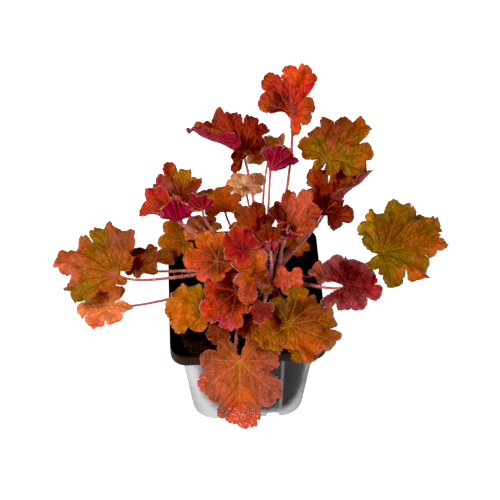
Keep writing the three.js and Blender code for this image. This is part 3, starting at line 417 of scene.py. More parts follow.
LEAVES = [
    leaf("leaf_top", "orange", (28, 50, 184), (25, -90, 71), 12, (0.07, 6, 10),
         [(-158, 13, -50, 0.5), (-97, 12, 0, 0.85), (-54, 14, 0, 0.55), (-5, 28, 5, 0.85),
          (16, 26, 10, 0.66), (45, 25, 14, 0.82), (85, 19, -5, 0.5)],
         [(RED, 110, 0.45, 0.4), (MAROON, 150, 0.3, 0.27), (BROWN, 195, 0.8, 0.3),
          (BROWN, 0, 0.6, 0.25), (FLAME, 75, 0.85, 0.3), (BRIGHT_RED, 45, 0.7, 0.2)],
         rise=0.25, neck=(0.35, -0.04), bow=-5, main=RED_ORANGE, outer=ORANGE),
    leaf("leaf_back_left_large", "dark", (2, 51, 149), (10, -90, 114), 18, (0.05, 6, 60),
         [(-95, 14, 10, 0.8), (-64, 22, 12, 0.85), (-38, 25, 15, 0.7), (-12, 27, 5, 0.88),
          (12, 31, -5, 0.92), (36, 37, -15, 0.8), (56, 22, 100, 0.5, 60), (95, 10, 60, 0.8),
          (125, 13, -30, 0.5)],
         [(ORANGE, 155, 0.95, 0.3), (AMBER, 150, 0.5, 0.16), (CRIMSON, 35, 0.6, 0.3),
          (MAROON, 90, 0.05, 0.32)], outer=RED_BROWN),
    leaf("leaf_back_brown", "tan", (17, 60, 136), (5, 90, 73), 10, (0.06, 5, 100),
         [(-120, 13, 0, 0.7), (-50, 15, 5, 0.8), (0, 19, 0, 0.8), (55, 15, 5, 0.7),
          (120, 13, 0, 0.7)], bow=2.5, main=APRICOT, outer=TAN),
    leaf("leaf_back_cupped", "crimson", (16.5, 40, 148), (97, 80, 80), 5, (0.05, 5, 30),
         [(-15, 14, 25, 0.85), (12, 16, 20, 0.9), (40, 17, 20, 0.9), (68, 17, 20, 0.8)],
         neck=(0.1, 0.3), main=DARK_MAGENTA, under=DARK_MAGENTA, under_vein=ROSE),
    # Main and outer lighter than the family's: painted light that makes up for the shade this leaf
    # lies in.
    leaf("leaf_back_tan", "tan", (3, 51, 118), (5, 90, 105), 10, (0.05, 5, 0),
         [(-120, 10, 0, 0.7), (-60, 15, 0, 0.75), (0, 15, 0, 0.8), (60, 13, 0, 0.7),
          (120, 9, 0, 0.7)],
         [(LIGHT_BROWN, 40, 0.8, 0.35)], main=SAND, outer=APRICOT),
    leaf("leaf_back_right", "olive", (51, 50, 145), (10, -60, 61), 8, (0.05, 6, 20),
         [(-145, 11, -15, 0.5), (-80, 22, -10, 0.9), (-53, 26, 0, 0.52), (-14, 35, 0, 0.92),
          (5, 29, 5, 0.74), (30, 26, 5, 0.8), (52, 21, 0, 0.78), (90, 20, -5, 0.9),
          (112, 16, -10, 0.4), (152, 11, -15, 0.5)],
         [(SALMON, 70, 0.5, 0.3), (ORANGE, 60, 0.95, 0.3), (ORANGE, -5, 0.9, 0.35),
          (YELLOW_OLIVE, 165, 0.8, 0.2)], rise=0.1, neck=(0.45, 0)),
    leaf("leaf_right_dark", "dark", (47, 24, 128), (12, -65, 64), 10, (0.07, 6, 200),
         [(-118, 13, -35, 0.75), (-74, 16, -35, 0.55), (-46, 20, 110, 0.85, 75),
          (-24, 37, 10, 0.88), (-4, 34, 5, 0.55), (34, 27, 5, 0.64), (76, 17, 0, 0.6),
          (132, 13, -30, 0.5)],
         [(LIGHT_BROWN, 45, 0.75, 0.35), (ORANGE, 140, 0.7, 0.3), (DARK_MAGENTA, 0, 0.6, 0.2),
          (MAROON, 90, 0.05, 0.3)]),
    leaf("leaf_right_large", "olive", (78, -1, 120), (15, -10, 22), 10, (0.05, 7, 150),
         [(-155, 14, -10, 0.6), (-101, 23, -10, 0.56), (-40, 31, -10, 0.66), (-2, 40, -5, 0.92),
          (12, 47, -3, 0.92), (28, 42, 0, 0.86), (46, 38, 0, 0.85), (76, 28, 5, 0.8),
          (106, 21, 5, 0.8), (136, 14, 0, 0.5)],
         [(AMBER, 25, 0.6, 0.35), (ORANGE, -45, 0.75, 0.35), (ORANGE, 5, 0.95, 0.25),
          (YELLOW_OLIVE, 120, 0.5, 0.2), (OLIVE_BROWN, 65, 0.3, 0.2)],
         rise=0.1, neck=(0.5, 0), bow=7, outer=OLIVE, hub=DEEP_OLIVE),
    leaf("leaf_right_crimson", "crimson", (58, -12, 105), (20, -20, 22), 10, (0.06, 6, 300),
         [(-158, 24, -5, 0.82), (-130, 17, -10, 0.85), (-84, 17, -12, 0.6), (-22, 21, -15, 0.85),
          (8, 22, -5, 0.8), (52, 19, 0, 0.76), (106, 19, 0, 0.82), (150, 24, 0, 0.7)],
         [(BRIGHT_RED, 8, 0.95, 0.4), (ROSE, -60, 0.9, 0.42), (ROSE_BROWN, 170, 0.9, 0.3),
          (MAROON, 100, 0.3, 0.3)], main=DULL_RED, outer=MAUVE),
    leaf("leaf_front_right", "olive", (22, -38, 106), (25, -60, -13), 15, (0.07, 6, 40),
         [(-125, 12, -10, 0.7), (-78, 14, -20, 0.8), (-32, 25, -25, 0.85), (-4, 30, -15, 0.76),
          (26, 29, -3, 0.78), (57, 22, 4, 0.75), (88, 23, 10, 0.5), (140, 17, 5, 0.6)],
         [(OLIVE, 110, 0.6, 0.4), (ORANGE, -50, 0.7, 0.45), (DARK_BROWN, 150, 0.25, 0.3),
          (BRIGHT_ORANGE, -80, 0.9, 0.2), (BROWN, 35, 0.4, 0.34), (BROWN, -10, 0.75, 0.2),
          (DARK_BROWN, 65, 0.35, 0.16)], bow=7, main=AMBER),
    leaf("leaf_front_right_low", "olive", (28, -43, 96), (30, -60, -40), 5, (0.05, 5, 90),
         [(-110, 9, 0, 0.7), (-50, 12, -10, 0.7), (0, 14, -15, 0.75), (50, 15, -10, 0.7),
          (110, 10, 0, 0.7)], main=YELLOW_OLIVE),
    # Its brown patches at 50 and 130 degrees beside the hub are painted shade where the blade
    # curves away from the light.
    leaf("leaf_front_large", "salmon", (-6, -52, 92), (35, -90, -92), 5, (0.05, 7, 0),
         [(-136, 16, 5, 0.6), (-95, 22, 0, 0.75), (-54, 27, -8, 0.78), (0, 37, -25, 0.8),
          (47, 30, -10, 0.5), (92, 22, 0, 0.65), (137, 15, 5, 0.5)],
         [(ORANGE, -90, 0.55, 0.22), (RED_ORANGE, -92, 0.98, 0.34), (ROSE_BROWN, 150, 0.7, 0.42),
          (ROSE_BROWN, -25, 0.7, 0.4), (SALMON, 205, 0.75, 0.25), (BROWN, 50, 0.5, 0.36),
          (BROWN, 130, 0.4, 0.27), (AMBER, 100, 0.2, 0.16), (ROSE, 145, 0.85, 0.28),
          (ROSE, -20, 0.9, 0.26), (ROSE, 200, 0.85, 0.22), (BROWN, 215, 0.95, 0.12)],
         bow=-7, main=BRICK, outer=ROSE_BROWN, hub=AMBER, specks=0.55),
    leaf("leaf_far_left", "olive", (-74, -2, 112), (15, 180, 160), 8, (0.05, 7, 80),
         [(-128, 14, 0, 0.7), (-86, 30, 0, 0.92), (-56, 36, 0, 0.74), (-28, 38, -5, 0.93),
          (-8, 41, -10, 0.74), (20, 32, -12, 0.9), (42, 29, -10, 0.6), (92, 13, 0, 0.7),
          (138, 10, 0, 0.6)],
         [(OLIVE, 111, 0.65, 0.25), (ROSE_BROWN, 80, 0.55, 0.22), (SALMON, 160, 0.8, 0.3),
          (OLIVE, 205, 0.65, 0.28), (ROSE, 180, 0.04, 0.1)], main=AMBER, outer=ORANGE),
    leaf("leaf_left_inner", "dark", (-62, 9, 106), (15, 180, -2), 8, (0.07, 5, 0),
         [(-135, 9, 0, 0.8), (-85, 9, 0, 0.8), (-36, 14, 5, 0.8), (2, 22, 5, 0.7),
          (40, 15, 0, 0.85), (88, 11, 0, 0.85), (142, 12, 0, 0.6)],
         [(DARK_BROWN, 80, 0.5, 0.3), (ROSE_BROWN, 250, 0.6, 0.25)],
         main=OLIVE_BROWN, outer=OLIVE_BROWN),
    leaf("leaf_left_salmon", "salmon", (-79, -11, 95), (20, 180, -172), 5, (0.05, 5, 140),
         [(-140, 13, 0, 0.7), (-85, 15, 0, 0.62), (-14, 20, -5, 0.68), (40, 17, -8, 0.62),
          (103, 15, -5, 0.68), (150, 15, -5, 0.6)],
         [(CORAL, 235, 0.85, 0.35), (AMBER, 130, 0.5, 0.2)],
         rise=0.25, main=APRICOT, outer=APRICOT, hub=APRICOT),
    leaf("leaf_left_yellow", "salmon", (-26, -17.5, 98), (20, -120, -171), 10, (0.06, 6, 220),
         [(-132, 10, 0, 0.85), (-88, 13, 5, 0.85), (-50, 19, 0, 0.85), (-12, 21, 0, 0.85),
          (24, 21, -5, 0.75), (70, 15, -5, 0.8), (120, 11, 0, 0.7)],
         [(BRIGHT_ORANGE, 195, 0.6, 0.3), (BROWN, 20, 0.2, 0.28), (YELLOW_OLIVE, 95, 0.6, 0.3)],
         main=GOLD, outer=GOLD, rim=GOLD, hub=OLIVE),
    leaf("leaf_left_coral", "salmon", (-16, -4, 123), (25, -120, -152), 10, (0.06, 6, 20),
         [(-140, 16, 20, 0.7), (-100, 18, 20, 0.6), (-37, 19, 0, 0.65), (5, 15, -10, 0.75),
          (55, 12, -10, 0.7), (120, 10, 0, 0.7)],
         [(BRIGHT_ORANGE, 85, 0.8, 0.4), (CORAL, 215, 0.85, 0.4), (MAROON, 0, 0.0, 0.42)],
         rise=0.3, main=RED_ORANGE),
    leaf("leaf_left_olive", "olive", (-35, 23, 108), (10, 180, 160), 8, (0.06, 5, 20),
         [(-100, 12, 0, 0.7), (-45, 19, 0, 0.7), (15, 15, 0, 0.75), (70, 14, 0, 0.7),
          (130, 10, 0, 0.7)],
         [(BRIGHT_ORANGE, 20, 0.4, 0.3), (RED, -60, 0.8, 0.2)], main=AMBER, outer=GOLD),
    # Main and outer lighter than the family's: painted light that makes up for the shade this leaf
    # lies in.
    leaf("leaf_left_back_olive", "olive", (-22, 27, 112), (5, 150, 119), 10, (0.06, 5, 120),
         [(-110, 10, 0, 0.7), (-50, 11, 0, 0.7), (10, 13, 0, 0.7), (80, 13, 0, 0.7),
          (140, 11, 0, 0.7)],
         [(DARK_BROWN, 60, 0.3, 0.2)], main=APRICOT, outer=APRICOT),
    leaf("leaf_left_cupped", "orange", (-37, 15, 136), (5, -150, -155), 25, (0.05, 6, 200),
         [(-148, 12, 50, 0.75), (-115, 14, 40, 0.75), (-78, 26, 5, 0.88), (-50, 25, -15, 0.5),
          (-10, 13, 45, 0.92, 45), (22, 23, 86, 0.92, 70), (66, 28, 94, 0.95, 72),
          (112, 23, 86, 0.9, 70), (150, 17, 42, 0.7, 42)],
         [(RED, 120, 0.9, 0.25)], rise=0.1, main=RED_BROWN, outer=RED_ORANGE),
    leaf("leaf_left_high", "orange", (-35, 36, 128), (10, 120, 110), 20, (0.06, 5, 40),
         [(-110, 11, 0, 0.7), (-55, 19, 10, 0.82), (-30, 23, 15, 0.75), (-4, 26, 30, 0.8),
          (22, 22, 5, 0.7), (65, 13, 0, 0.7), (120, 11, 0, 0.7)],
         [(MAUVE, 155, 0.7, 0.35), (DARK_BROWN, 300, 0.2, 0.3), (YELLOW_OLIVE, 75, 0.8, 0.3)],
         main=BROWN, outer=RED_BROWN),
    leaf("leaf_left_magenta", "crimson", (-23, 26, 133), (85, 80, -95), 5, (0.05, 5, 0),
         [(-75, 9, 20, 0.75), (-35, 13, 15, 0.8), (0, 11, 15, 0.8), (40, 9, 20, 0.75),
          (80, 7, 20, 0.7)], neck=(0.1, 0.25), main=MAGENTA, under=CRIMSON),
    leaf("leaf_back_orange", "orange", (-10, 35, 120), (0, 90, 99), 5, (0.06, 5, 250),
         [(-100, 10, 0, 0.7), (-48, 13, 0, 0.75), (-8, 18, 0, 0.8), (33, 20, 0, 0.7),
          (90, 12, 0, 0.7)],
         [(OLIVE, 150, 0.8, 0.4), (BROWN, 10, 0.9, 0.35)], hub=BROWN, outer=AMBER),
    leaf("leaf_centre_right", "orange", (23.5, 6, 130), (10, -70, 50), 30, (0.07, 6, 10),
         [(-140, 14, 86, 0.8, 60), (-90, 13, 60, 0.75, 40), (-44, 19, 25, 0.82),
          (-16, 25, 12, 0.88), (10, 28, 15, 0.82), (34, 26, 25, 0.82), (62, 20, 40, 0.75),
          (125, 15, 88, 0.7, 60)],
         [(RED_BROWN, 200, 0.6, 0.35), (MAROON, 120, 0.4, 0.36), (SALMON, 60, 0.7, 0.3),
          (MAGENTA, 15, 0.97, 0.2), (MAGENTA, 95, 1.0, 0.12)], main=BRICK, outer=BRICK),
    leaf("leaf_centre_left", "dark", (10, 6, 121), (10, -100, 110), 30, (0.07, 6, 110),
         [(-135, 15, 92, 0.8, 62), (-82, 16, 60, 0.8, 40), (-44, 19, 32, 0.82), (-16, 26, 18, 0.82),
          (12, 26, 15, 0.82), (40, 22, 16, 0.75), (90, 13, 48, 0.8, 40), (138, 14, 94, 0.7, 62)],
         [(OLIVE_BROWN, 140, 0.8, 0.35), (MAROON, 80, 0.3, 0.4), (ORANGE, 150, 0.5, 0.25)],
         main=RED_ORANGE),
    leaf("leaf_centre_cupped", "dark", (14, -5.5, 132), (5, -90, 95), 38, (0.07, 5, 30),
         [(-130, 14, 92, 0.85, 62), (-74, 11, 60, 0.8, 45), (-32, 13, 40, 0.85), (5, 15, 38, 0.85),
          (42, 13, 42, 0.8), (84, 10, 60, 0.8, 45), (135, 14, 92, 0.7, 62)],
         main=RED_BROWN, under=ROSE),
    # Main and outer lighter than the family's: painted light that makes up for the shade this leaf
    # lies in.
    leaf("leaf_centre_olive", "olive", (29.5, 21, 102), (20, -40, 48), 5, (0.05, 5, 10),
         [(-110, 8, 0, 0.7), (-50, 10, 0, 0.7), (0, 11, 0, 0.75), (60, 9, 0, 0.7),
          (120, 8, 0, 0.7)], main=APRICOT, outer=BRIGHT_ORANGE),
    leaf("leaf_centre_ruffled", "orange", (5, -15, 121), (25, -90, 107), 20, (0.08, 6, 70),
         [(-150, 9, -10, 0.75), (-85, 8, 20, 0.8), (-20, 16, 20, 0.8), (30, 16, 20, 0.8),
          (85, 12, 30, 0.8), (140, 17, -5, 0.7)],
         [(MAROON, 0, 0.2, 0.3), (RED_BROWN, 250, 0.5, 0.3), (MAGENTA, 200, 0.95, 0.2),
          (AMBER, 120, 0.8, 0.3)], main=BRIGHT_ORANGE, outer=SALMON),
    leaf("leaf_centre_large", "orange", (-6, -18, 112), (17, -110, -141), 12, (0.07, 6, 10),
         [(-110, 14, 20, 0.75), (-55, 18, 10, 0.75), (0, 24, -10, 0.75), (35, 23, -15, 0.75),
          (85, 15, 0, 0.75), (135, 10, 20, 0.7)],
         [(RED_ORANGE, 190, 0.6, 0.35), (ROSE, 250, 0.95, 0.3), (MAROON, 0, 0.0, 0.5),
          (MAGENTA, 15, 0.95, 0.22), (MAGENTA, 165, 1.0, 0.18), (AMBER, 75, 0.8, 0.3),
          (ORANGE, 290, 0.8, 0.3)], main=RED_BROWN),
    leaf("leaf_front_centre", "orange", (1, -29, 98), (25, -90, -66), 10, (0.07, 6, 130),
         [(-105, 8, 0, 0.75), (-55, 10, 0, 0.75), (-18, 17, 0, 0.75), (17, 25, 0, 0.72),
          (55, 21, 5, 0.75), (110, 13, 10, 0.7)],
         [(DARK_BROWN, 190, 0.2, 0.4), (YELLOW_OLIVE, 300, 0.8, 0.3), (BRICK, 200, 0.8, 0.3)],
         main=AMBER, outer=ORANGE),
    leaf("leaf_coral_star", "salmon", (24, -10, 112), (35, -80, -93), 0, (0.05, 5, 10),
         [(-130, 8, 0, 0.6), (-72, 9, 0, 0.55), (0, 10, 0, 0.55), (60, 9, 0, 0.55),
          (115, 9, 0, 0.55)], main=CORAL, outer=CORAL, hub=RED),
    leaf("leaf_pink_small", "crimson", (8, -34, 117), (20, -90, -116), 10, (0.05, 5, 200),
         [(-110, 6, 0, 0.7), (-55, 7, 0, 0.7), (0, 9, 0, 0.75), (60, 7, 0, 0.7), (120, 6, 10, 0.7)],
         main=DULL_RED, outer=RED_BROWN),
    leaf("leaf_centre_red", "crimson", (-1, -3, 132), (12, -110, 150), 15, (0.07, 6, 10),
         [(-130, 11, 10, 0.75), (-80, 11, 20, 0.75), (-35, 13, 45, 0.75), (10, 14, 45, 0.75),
          (60, 12, 10, 0.75), (115, 12, -5, 0.75)],
         [(MAGENTA, 70, 0.8, 0.3)], main=RED, outer=RED_ORANGE),
    # Main and outer both brown, darker than the family's: painted shade for the shadow of the
    # leaves above it.
    leaf("leaf_left_brown_small", "orange", (-17, -33, 97), (25, -100, -100), 5, (0.05, 5, 10),
         [(-110, 6, 0, 0.7), (-50, 8, 0, 0.7), (0, 9, 0, 0.75), (50, 8, 0, 0.7), (110, 6, 0, 0.7)],
         main=BROWN, outer=BROWN),
    leaf("leaf_dry", "tan", (11, -13, 105), (30, -90, 70), 20, (0.08, 5, 10),
         [(-110, 4, 40, 0.6), (-50, 5, 40, 0.6), (0, 6, 30, 0.6), (60, 5, 60, 0.6),
          (120, 4, 60, 0.6)], main=TAN, outer=TAN),
]


# ---- meshes -------------------------------------------------------------
def new_object(name, points, faces, materials):
    """A smooth-shaded mesh object from points in millimetres."""
    mesh = bpy.data.meshes.new(name)
    mesh.from_pydata(np.asarray(points) * MM, [], faces)
    for material in materials:
        mesh.materials.append(material)
    mesh.polygons.foreach_set("use_smooth", np.ones(len(mesh.polygons), dtype=bool))
    mesh.update()
    thing = bpy.data.objects.new(name, mesh)
    bpy.context.scene.collection.objects.link(thing)
    return thing


def normalised(vectors):
    return vectors / np.maximum(np.linalg.norm(vectors, axis=-1, keepdims=True), TINY)


def face_crosses(points, triangles):
    """Normals of the triangles, twice as long as their areas."""
    corners = points[triangles]
    return np.cross(corners[:, 1] - corners[:, 0], corners[:, 2] - corners[:, 0])


def vertex_normals(points, triangles):
    crosses = face_crosses(points, triangles)
    total = np.zeros_like(points)
    for corner in range(3):
        np.add.at(total, triangles[:, corner], crosses)
    return normalised(total)


def border_edges(triangles):
    """Directed edges that only one triangle has."""
    edges = np.concatenate([triangles[:, (0, 1)], triangles[:, (1, 2)], triangles[:, (2, 0)]])
    size = int(triangles.max()) + 1
    forward = edges[:, 0] * size + edges[:, 1]
    backward = edges[:, 1] * size + edges[:, 0]
    return edges[~np.isin(forward, backward)]


def loft_faces(count, rings):
    """Quads between equal rings, with the two ends closed by one face each."""
    top = (rings - 1) * count
    faces = []
    for low in range(0, top, count):
        for i in range(count):
            after = (i + 1) % count
            faces.append((low + i, low + after, low + count + after, low + count + i))
    return faces + [tuple(reversed(range(count))), tuple(range(top, top + count))]


def joined(parts):
    """One list of points and faces from several."""
    points, faces = [], []
    start = 0
    for part_points, part_faces in parts:
        points.append(part_points)
        faces += [tuple(start + corner for corner in face) for face in part_faces]
        start += len(part_points)
    return np.concatenate(points), faces


def tube(path, radii, sides):
    """Closed round skin along a path, with frames that don't twist."""
    tangents = normalised(np.gradient(path, axis=0))
    helper = np.array((1.0, 0, 0)) if abs(tangents[0][0]) < 0.8 else np.array((0, 1.0, 0))
    across = normalised(np.cross(tangents[0], helper))
    angles = np.arange(sides) / sides * 2 * np.pi
    rings = []
    for place, tangent, radius in zip(path, tangents, radii):
        across = normalised(across - tangent * np.dot(across, tangent))
        beside = np.cross(tangent, across)
        circle = np.outer(np.cos(angles), across) + np.outer(np.sin(angles), beside)
        rings.append(place + radius * circle)
    return np.concatenate(rings), loft_faces(sides, len(path))


def between(ends, share):
    return ends[0] + (ends[1] - ends[0]) * share


def smooth_step(value, low, high):
    share = np.clip((value - low) / (high - low), 0, 1)
    return share * share * (3 - 2 * share)


def waves(x, y, wavelengths, count, rng):
    """Sum of plane waves in random directions, about -1 to 1."""
    total = np.zeros_like(x)
    for _ in range(count):
        heading = rng.uniform(0, 2 * np.pi)
        phase = rng.uniform(0, 2 * np.pi)
        step = 2 * np.pi / rng.uniform(*wavelengths)
        total += np.sin(step * (x * np.cos(heading) + y * np.sin(heading)) + phase)
    return total / math.sqrt(count)


# ---- materials ----------------------------------------------------------
class Value:
    """An output of a material's nodes; arithmetic with it adds math nodes."""

    def __init__(self, shader, socket):
        self.shader = shader
        self.socket = socket

    def __add__(self, other):
        return self.shader.math("ADD", self, other)

    def __sub__(self, other):
        return self.shader.math("SUBTRACT", self, other)

    def __rsub__(self, other):
        return self.shader.math("SUBTRACT", other, self)

    def __mul__(self, other):
        return self.shader.math("MULTIPLY", self, other)

    def __truediv__(self, other):
        return self.shader.math("DIVIDE", self, other)

    def __abs__(self):
        return self.shader.math("ABSOLUTE", self)


class Shader:
    """A material with short calls for the nodes that feed its Principled BSDF."""

    def __init__(self, name):
        self.material = bpy.data.materials.new(name)
        self.material.use_nodes = True
        self.tree = self.material.node_tree
        self.surface = self.tree.nodes["Principled BSDF"]

    def feed(self, socket, value):
        if isinstance(value, Value):
            self.tree.links.new(value.socket, socket)
        else:
            socket.default_value = value

    def set(self, **values):
        for name, value in values.items():
            self.feed(self.surface.inputs[name.replace("_", " ")], value)

    def node(self, kind, inputs, output=0, **settings):
        """One output of a new node with these settings and inputs."""
        node = self.tree.nodes.new("ShaderNode" + kind)
        for name, setting in settings.items():
            setattr(node, name, setting)
        for key, value in inputs.items():
            self.feed(node.inputs[key], value)
        return Value(self, node.outputs[output])

    def math(self, operation, *values):
        return self.node("Math", dict(enumerate(values)), operation=operation)

    def strongest(self, first, *others):
        for other in others:
            first = self.math("MAXIMUM", first, other)
        return first

    def fade(self, value, low, high, start=0.0, end=1.0):
        """Smooth change from start to end while value goes from low to high."""
        inputs = {"Value": value, "From Min": low, "From Max": high, "To Min": start, "To Max": end}
        return self.node("MapRange", inputs, interpolation_type="SMOOTHSTEP")

    def mix(self, share, first, second):
        return self.node("Mix", {0: share, 6: first, 7: second}, 2, data_type="RGBA")

    def noise(self, vector, scale, detail=2.0, roughness=0.5):
        inputs = {"Vector": vector, "Scale": scale, "Detail": detail, "Roughness": roughness}
        return self.node("TexNoise", inputs)

    def attribute(self, name, output="Vector"):
        return self.node("Attribute", {}, output, attribute_name=name)

    def parts(self, vector):
        first = self.node("SeparateXYZ", {0: vector})
        return [Value(self, socket) for socket in first.socket.node.outputs]

    def shift(self, vector, offset):
        return self.node("VectorMath", {0: vector, 1: offset}, operation="ADD")

    def scaled(self, vector, factor):
        return self.node("VectorMath", {0: vector, "Scale": factor}, operation="SCALE")

    def distance(self, vector, place):
        return self.node("VectorMath", {0: vector, 1: place}, "Value", operation="DISTANCE")

    def place(self):
        """The object's own coordinates in millimetres."""
        return self.scaled(self.node("TexCoord", {}, "Object"), 1 / MM)

    def relief(self, height, depth, strength):
        inputs = {"Height": height, "Distance": depth * MM, "Strength": strength}
        self.feed(self.surface.inputs["Normal"], self.node("Bump", inputs))


def darker(colour, factor):
    return tuple(channel * factor for channel in colour[:3]) + (1.0,)


def vein_masks(shader, place, spacing):
    """Masks of the main veins, side veins and net, and the distance from the main vein."""
    across, along, length = shader.parts(shader.attribute("vein"))
    gap = abs(across)
    width = shader.fade(along / length, *MAIN_VEIN_WIDTHS)
    main = shader.fade(gap / width, *MAIN_VEIN_EDGE)
    angle = math.radians(VEIN_ANGLE)
    run = (gap * (-1 / math.tan(angle)) + along) / spacing
    run = run + shader.math("GREATER_THAN", across, 0.0) * 0.5
    beside = shader.math("PINGPONG", run, 0.5) * (spacing * math.sin(angle))
    branch = shader.fade(beside, *SIDE_VEIN_EDGE)
    faded = shader.fade(gap, 0.0, SIDE_VEIN_FADE_SHARE * spacing, 1.0, SIDE_VEIN_FADED)
    inputs = {"Vector": place, "Scale": NET_PITCH / spacing}
    cells = shader.node("TexVoronoi", inputs, feature="DISTANCE_TO_EDGE")
    return main, branch * faded, shader.fade(cells, *NET_EDGE), gap


def leaf_top_material(leaf, number):
    shader = Shader(leaf["name"] + "_top")
    look, longest, spacing = leaf["look"], leaf["longest"], leaf["spacing"]
    blade = shader.attribute("blade")
    x, y, share = shader.parts(blade)
    place = shader.shift(blade, (7.3 * number, 3.1 * number, 0))
    pitch, detail, roughness = PATCH_NOISE
    patchy = shader.noise(shader.shift(place, (51, 17, 0)), pitch / longest, detail, roughness)
    wobble = patchy - 0.5
    fine = shader.noise(place, *FINE_NOISE)
    grain = shader.noise(place, *GRAIN_NOISE)
    mottle = shader.noise(shader.shift(place, (0, 83, 0)), *MOTTLE_NOISE)
    main, branch, net, gap = vein_masks(shader, place, spacing)

    zone = wobble * PATCH_SWING + share
    # The hub colour, darker than the main one, is partly the leaf's own darker centre and partly
    # painted shade in its cupped throat.
    colour = shader.mix(shader.fade(zone, *HUB_FADE), look["hub"], look["main"])
    colour = shader.mix(shader.fade(zone, *OUTER_FADE), colour, look["outer"])
    flat = shader.node("CombineXYZ", {"X": x, "Y": y})
    # Patches of colour from each leaf's zones; the maroon patches at or beside the hub are painted
    # shade in the throats.
    for tone, bearing, far, size in leaf["zones"]:
        heading = math.radians(bearing - leaf["turn"][2])
        centre = (far * longest * math.cos(heading), far * longest * math.sin(heading), 0)
        radius = size * longest
        distance = shader.distance(flat, centre) + wobble * (ZONE_WOBBLE * radius)
        edge = [limit * radius for limit in ZONE_EDGE]
        colour = shader.mix(shader.fade(distance, *edge, ZONE_STRENGTH, 0.0), colour, tone)
    colour = shader.mix(
        shader.fade(patchy, *PATCH_SHADE), colour, darker(look["main"], PATCH_DARKNESS)
    )
    # Painted shade in the folds between the lobes near the hub, in the hub colour.
    painted_fold_shade = shader.fade(gap / spacing, *PAINTED_FOLD_SHADE_LIMITS) * shader.fade(zone, *PAINTED_FOLD_SHADE_REACH)
    colour = shader.mix(painted_fold_shade * PAINTED_FOLD_SHADE_STRENGTH, colour, look["hub"])
    light = shader.fade(mottle, *MOTTLE_LIGHT) * shader.fade(fine, *FINE_LIGHT)
    colour = shader.scaled(colour, light * shader.fade(grain, *GRAIN_LIGHT))
    flush = shader.fade(gap, FLUSH_START, FLUSH_END_SHARE * spacing, 1.0, 0.0)
    colour = shader.mix(flush * share * FLUSH_STRENGTH, colour, look["hub"])
    veins = shader.strongest(main, branch * TOP_VEINS[0], net * TOP_VEINS[1])
    colour = shader.mix(veins * look["vein_strength"], colour, look["vein"])
    margin = shader.attribute("margin", "Fac")
    rim = shader.fade(margin, *RIM_FADE) * shader.fade(fine, *RIM_BREAKS)
    colour = shader.mix(rim, colour, look["rim"])
    if leaf["specks"]:
        specks = shader.fade(shader.noise(place, *SPECK_NOISE), *SPECK_LIMITS, 0.0, leaf["specks"])
        tip = shader.fade(x, *(limit * longest for limit in SPECK_TIP))
        colour = shader.mix(specks * tip, colour, PALE_PINK)
    shader.set(
        Base_Color=colour, Roughness=shader.fade(fine, *LEAF_ROUGHNESS),
        Specular_IOR_Level=LEAF_SPECULAR,
    )
    shader.relief(mottle * 1.3 + fine * 0.7 - net * 0.4 - branch * 0.5, 0.55, 1.0)
    return shader.material


def leaf_under_material(leaf, number):
    shader = Shader(leaf["name"] + "_under")
    look = leaf["look"]
    place = shader.shift(shader.attribute("blade"), (5.7 * number, 9.1 * number, 0))
    fine = shader.noise(place, *UNDER_FINE_NOISE)
    broad = shader.noise(place, *UNDER_BROAD_NOISE)
    main, branch, net, _ = vein_masks(shader, place, leaf["spacing"])
    shade = darker(look["under"], UNDER_SHADE)
    colour = shader.mix(shader.fade(broad, *UNDER_BROAD_FADE), look["under"], shade)
    streaks = shader.fade(fine, *UNDER_FINE_FADE) * UNDER_FINE_STRENGTH
    colour = shader.mix(streaks, colour, look["under_vein"])
    veins = shader.strongest(main, branch * UNDER_VEINS[0], net * UNDER_VEINS[1])
    colour = shader.mix(veins * UNDER_VEIN_STRENGTH, colour, look["under_vein"])
    margin = shader.attribute("margin", "Fac")
    colour = shader.mix(shader.fade(margin, *UNDER_RIM_FADE), colour, look["rim"])
    shader.set(
        Base_Color=colour, Roughness=UNDER_ROUGHNESS, Specular_IOR_Level=UNDER_SPECULAR
    )
    shader.relief(veins * 0.8 + fine * 0.4, 0.35, 0.8)
    return shader.material


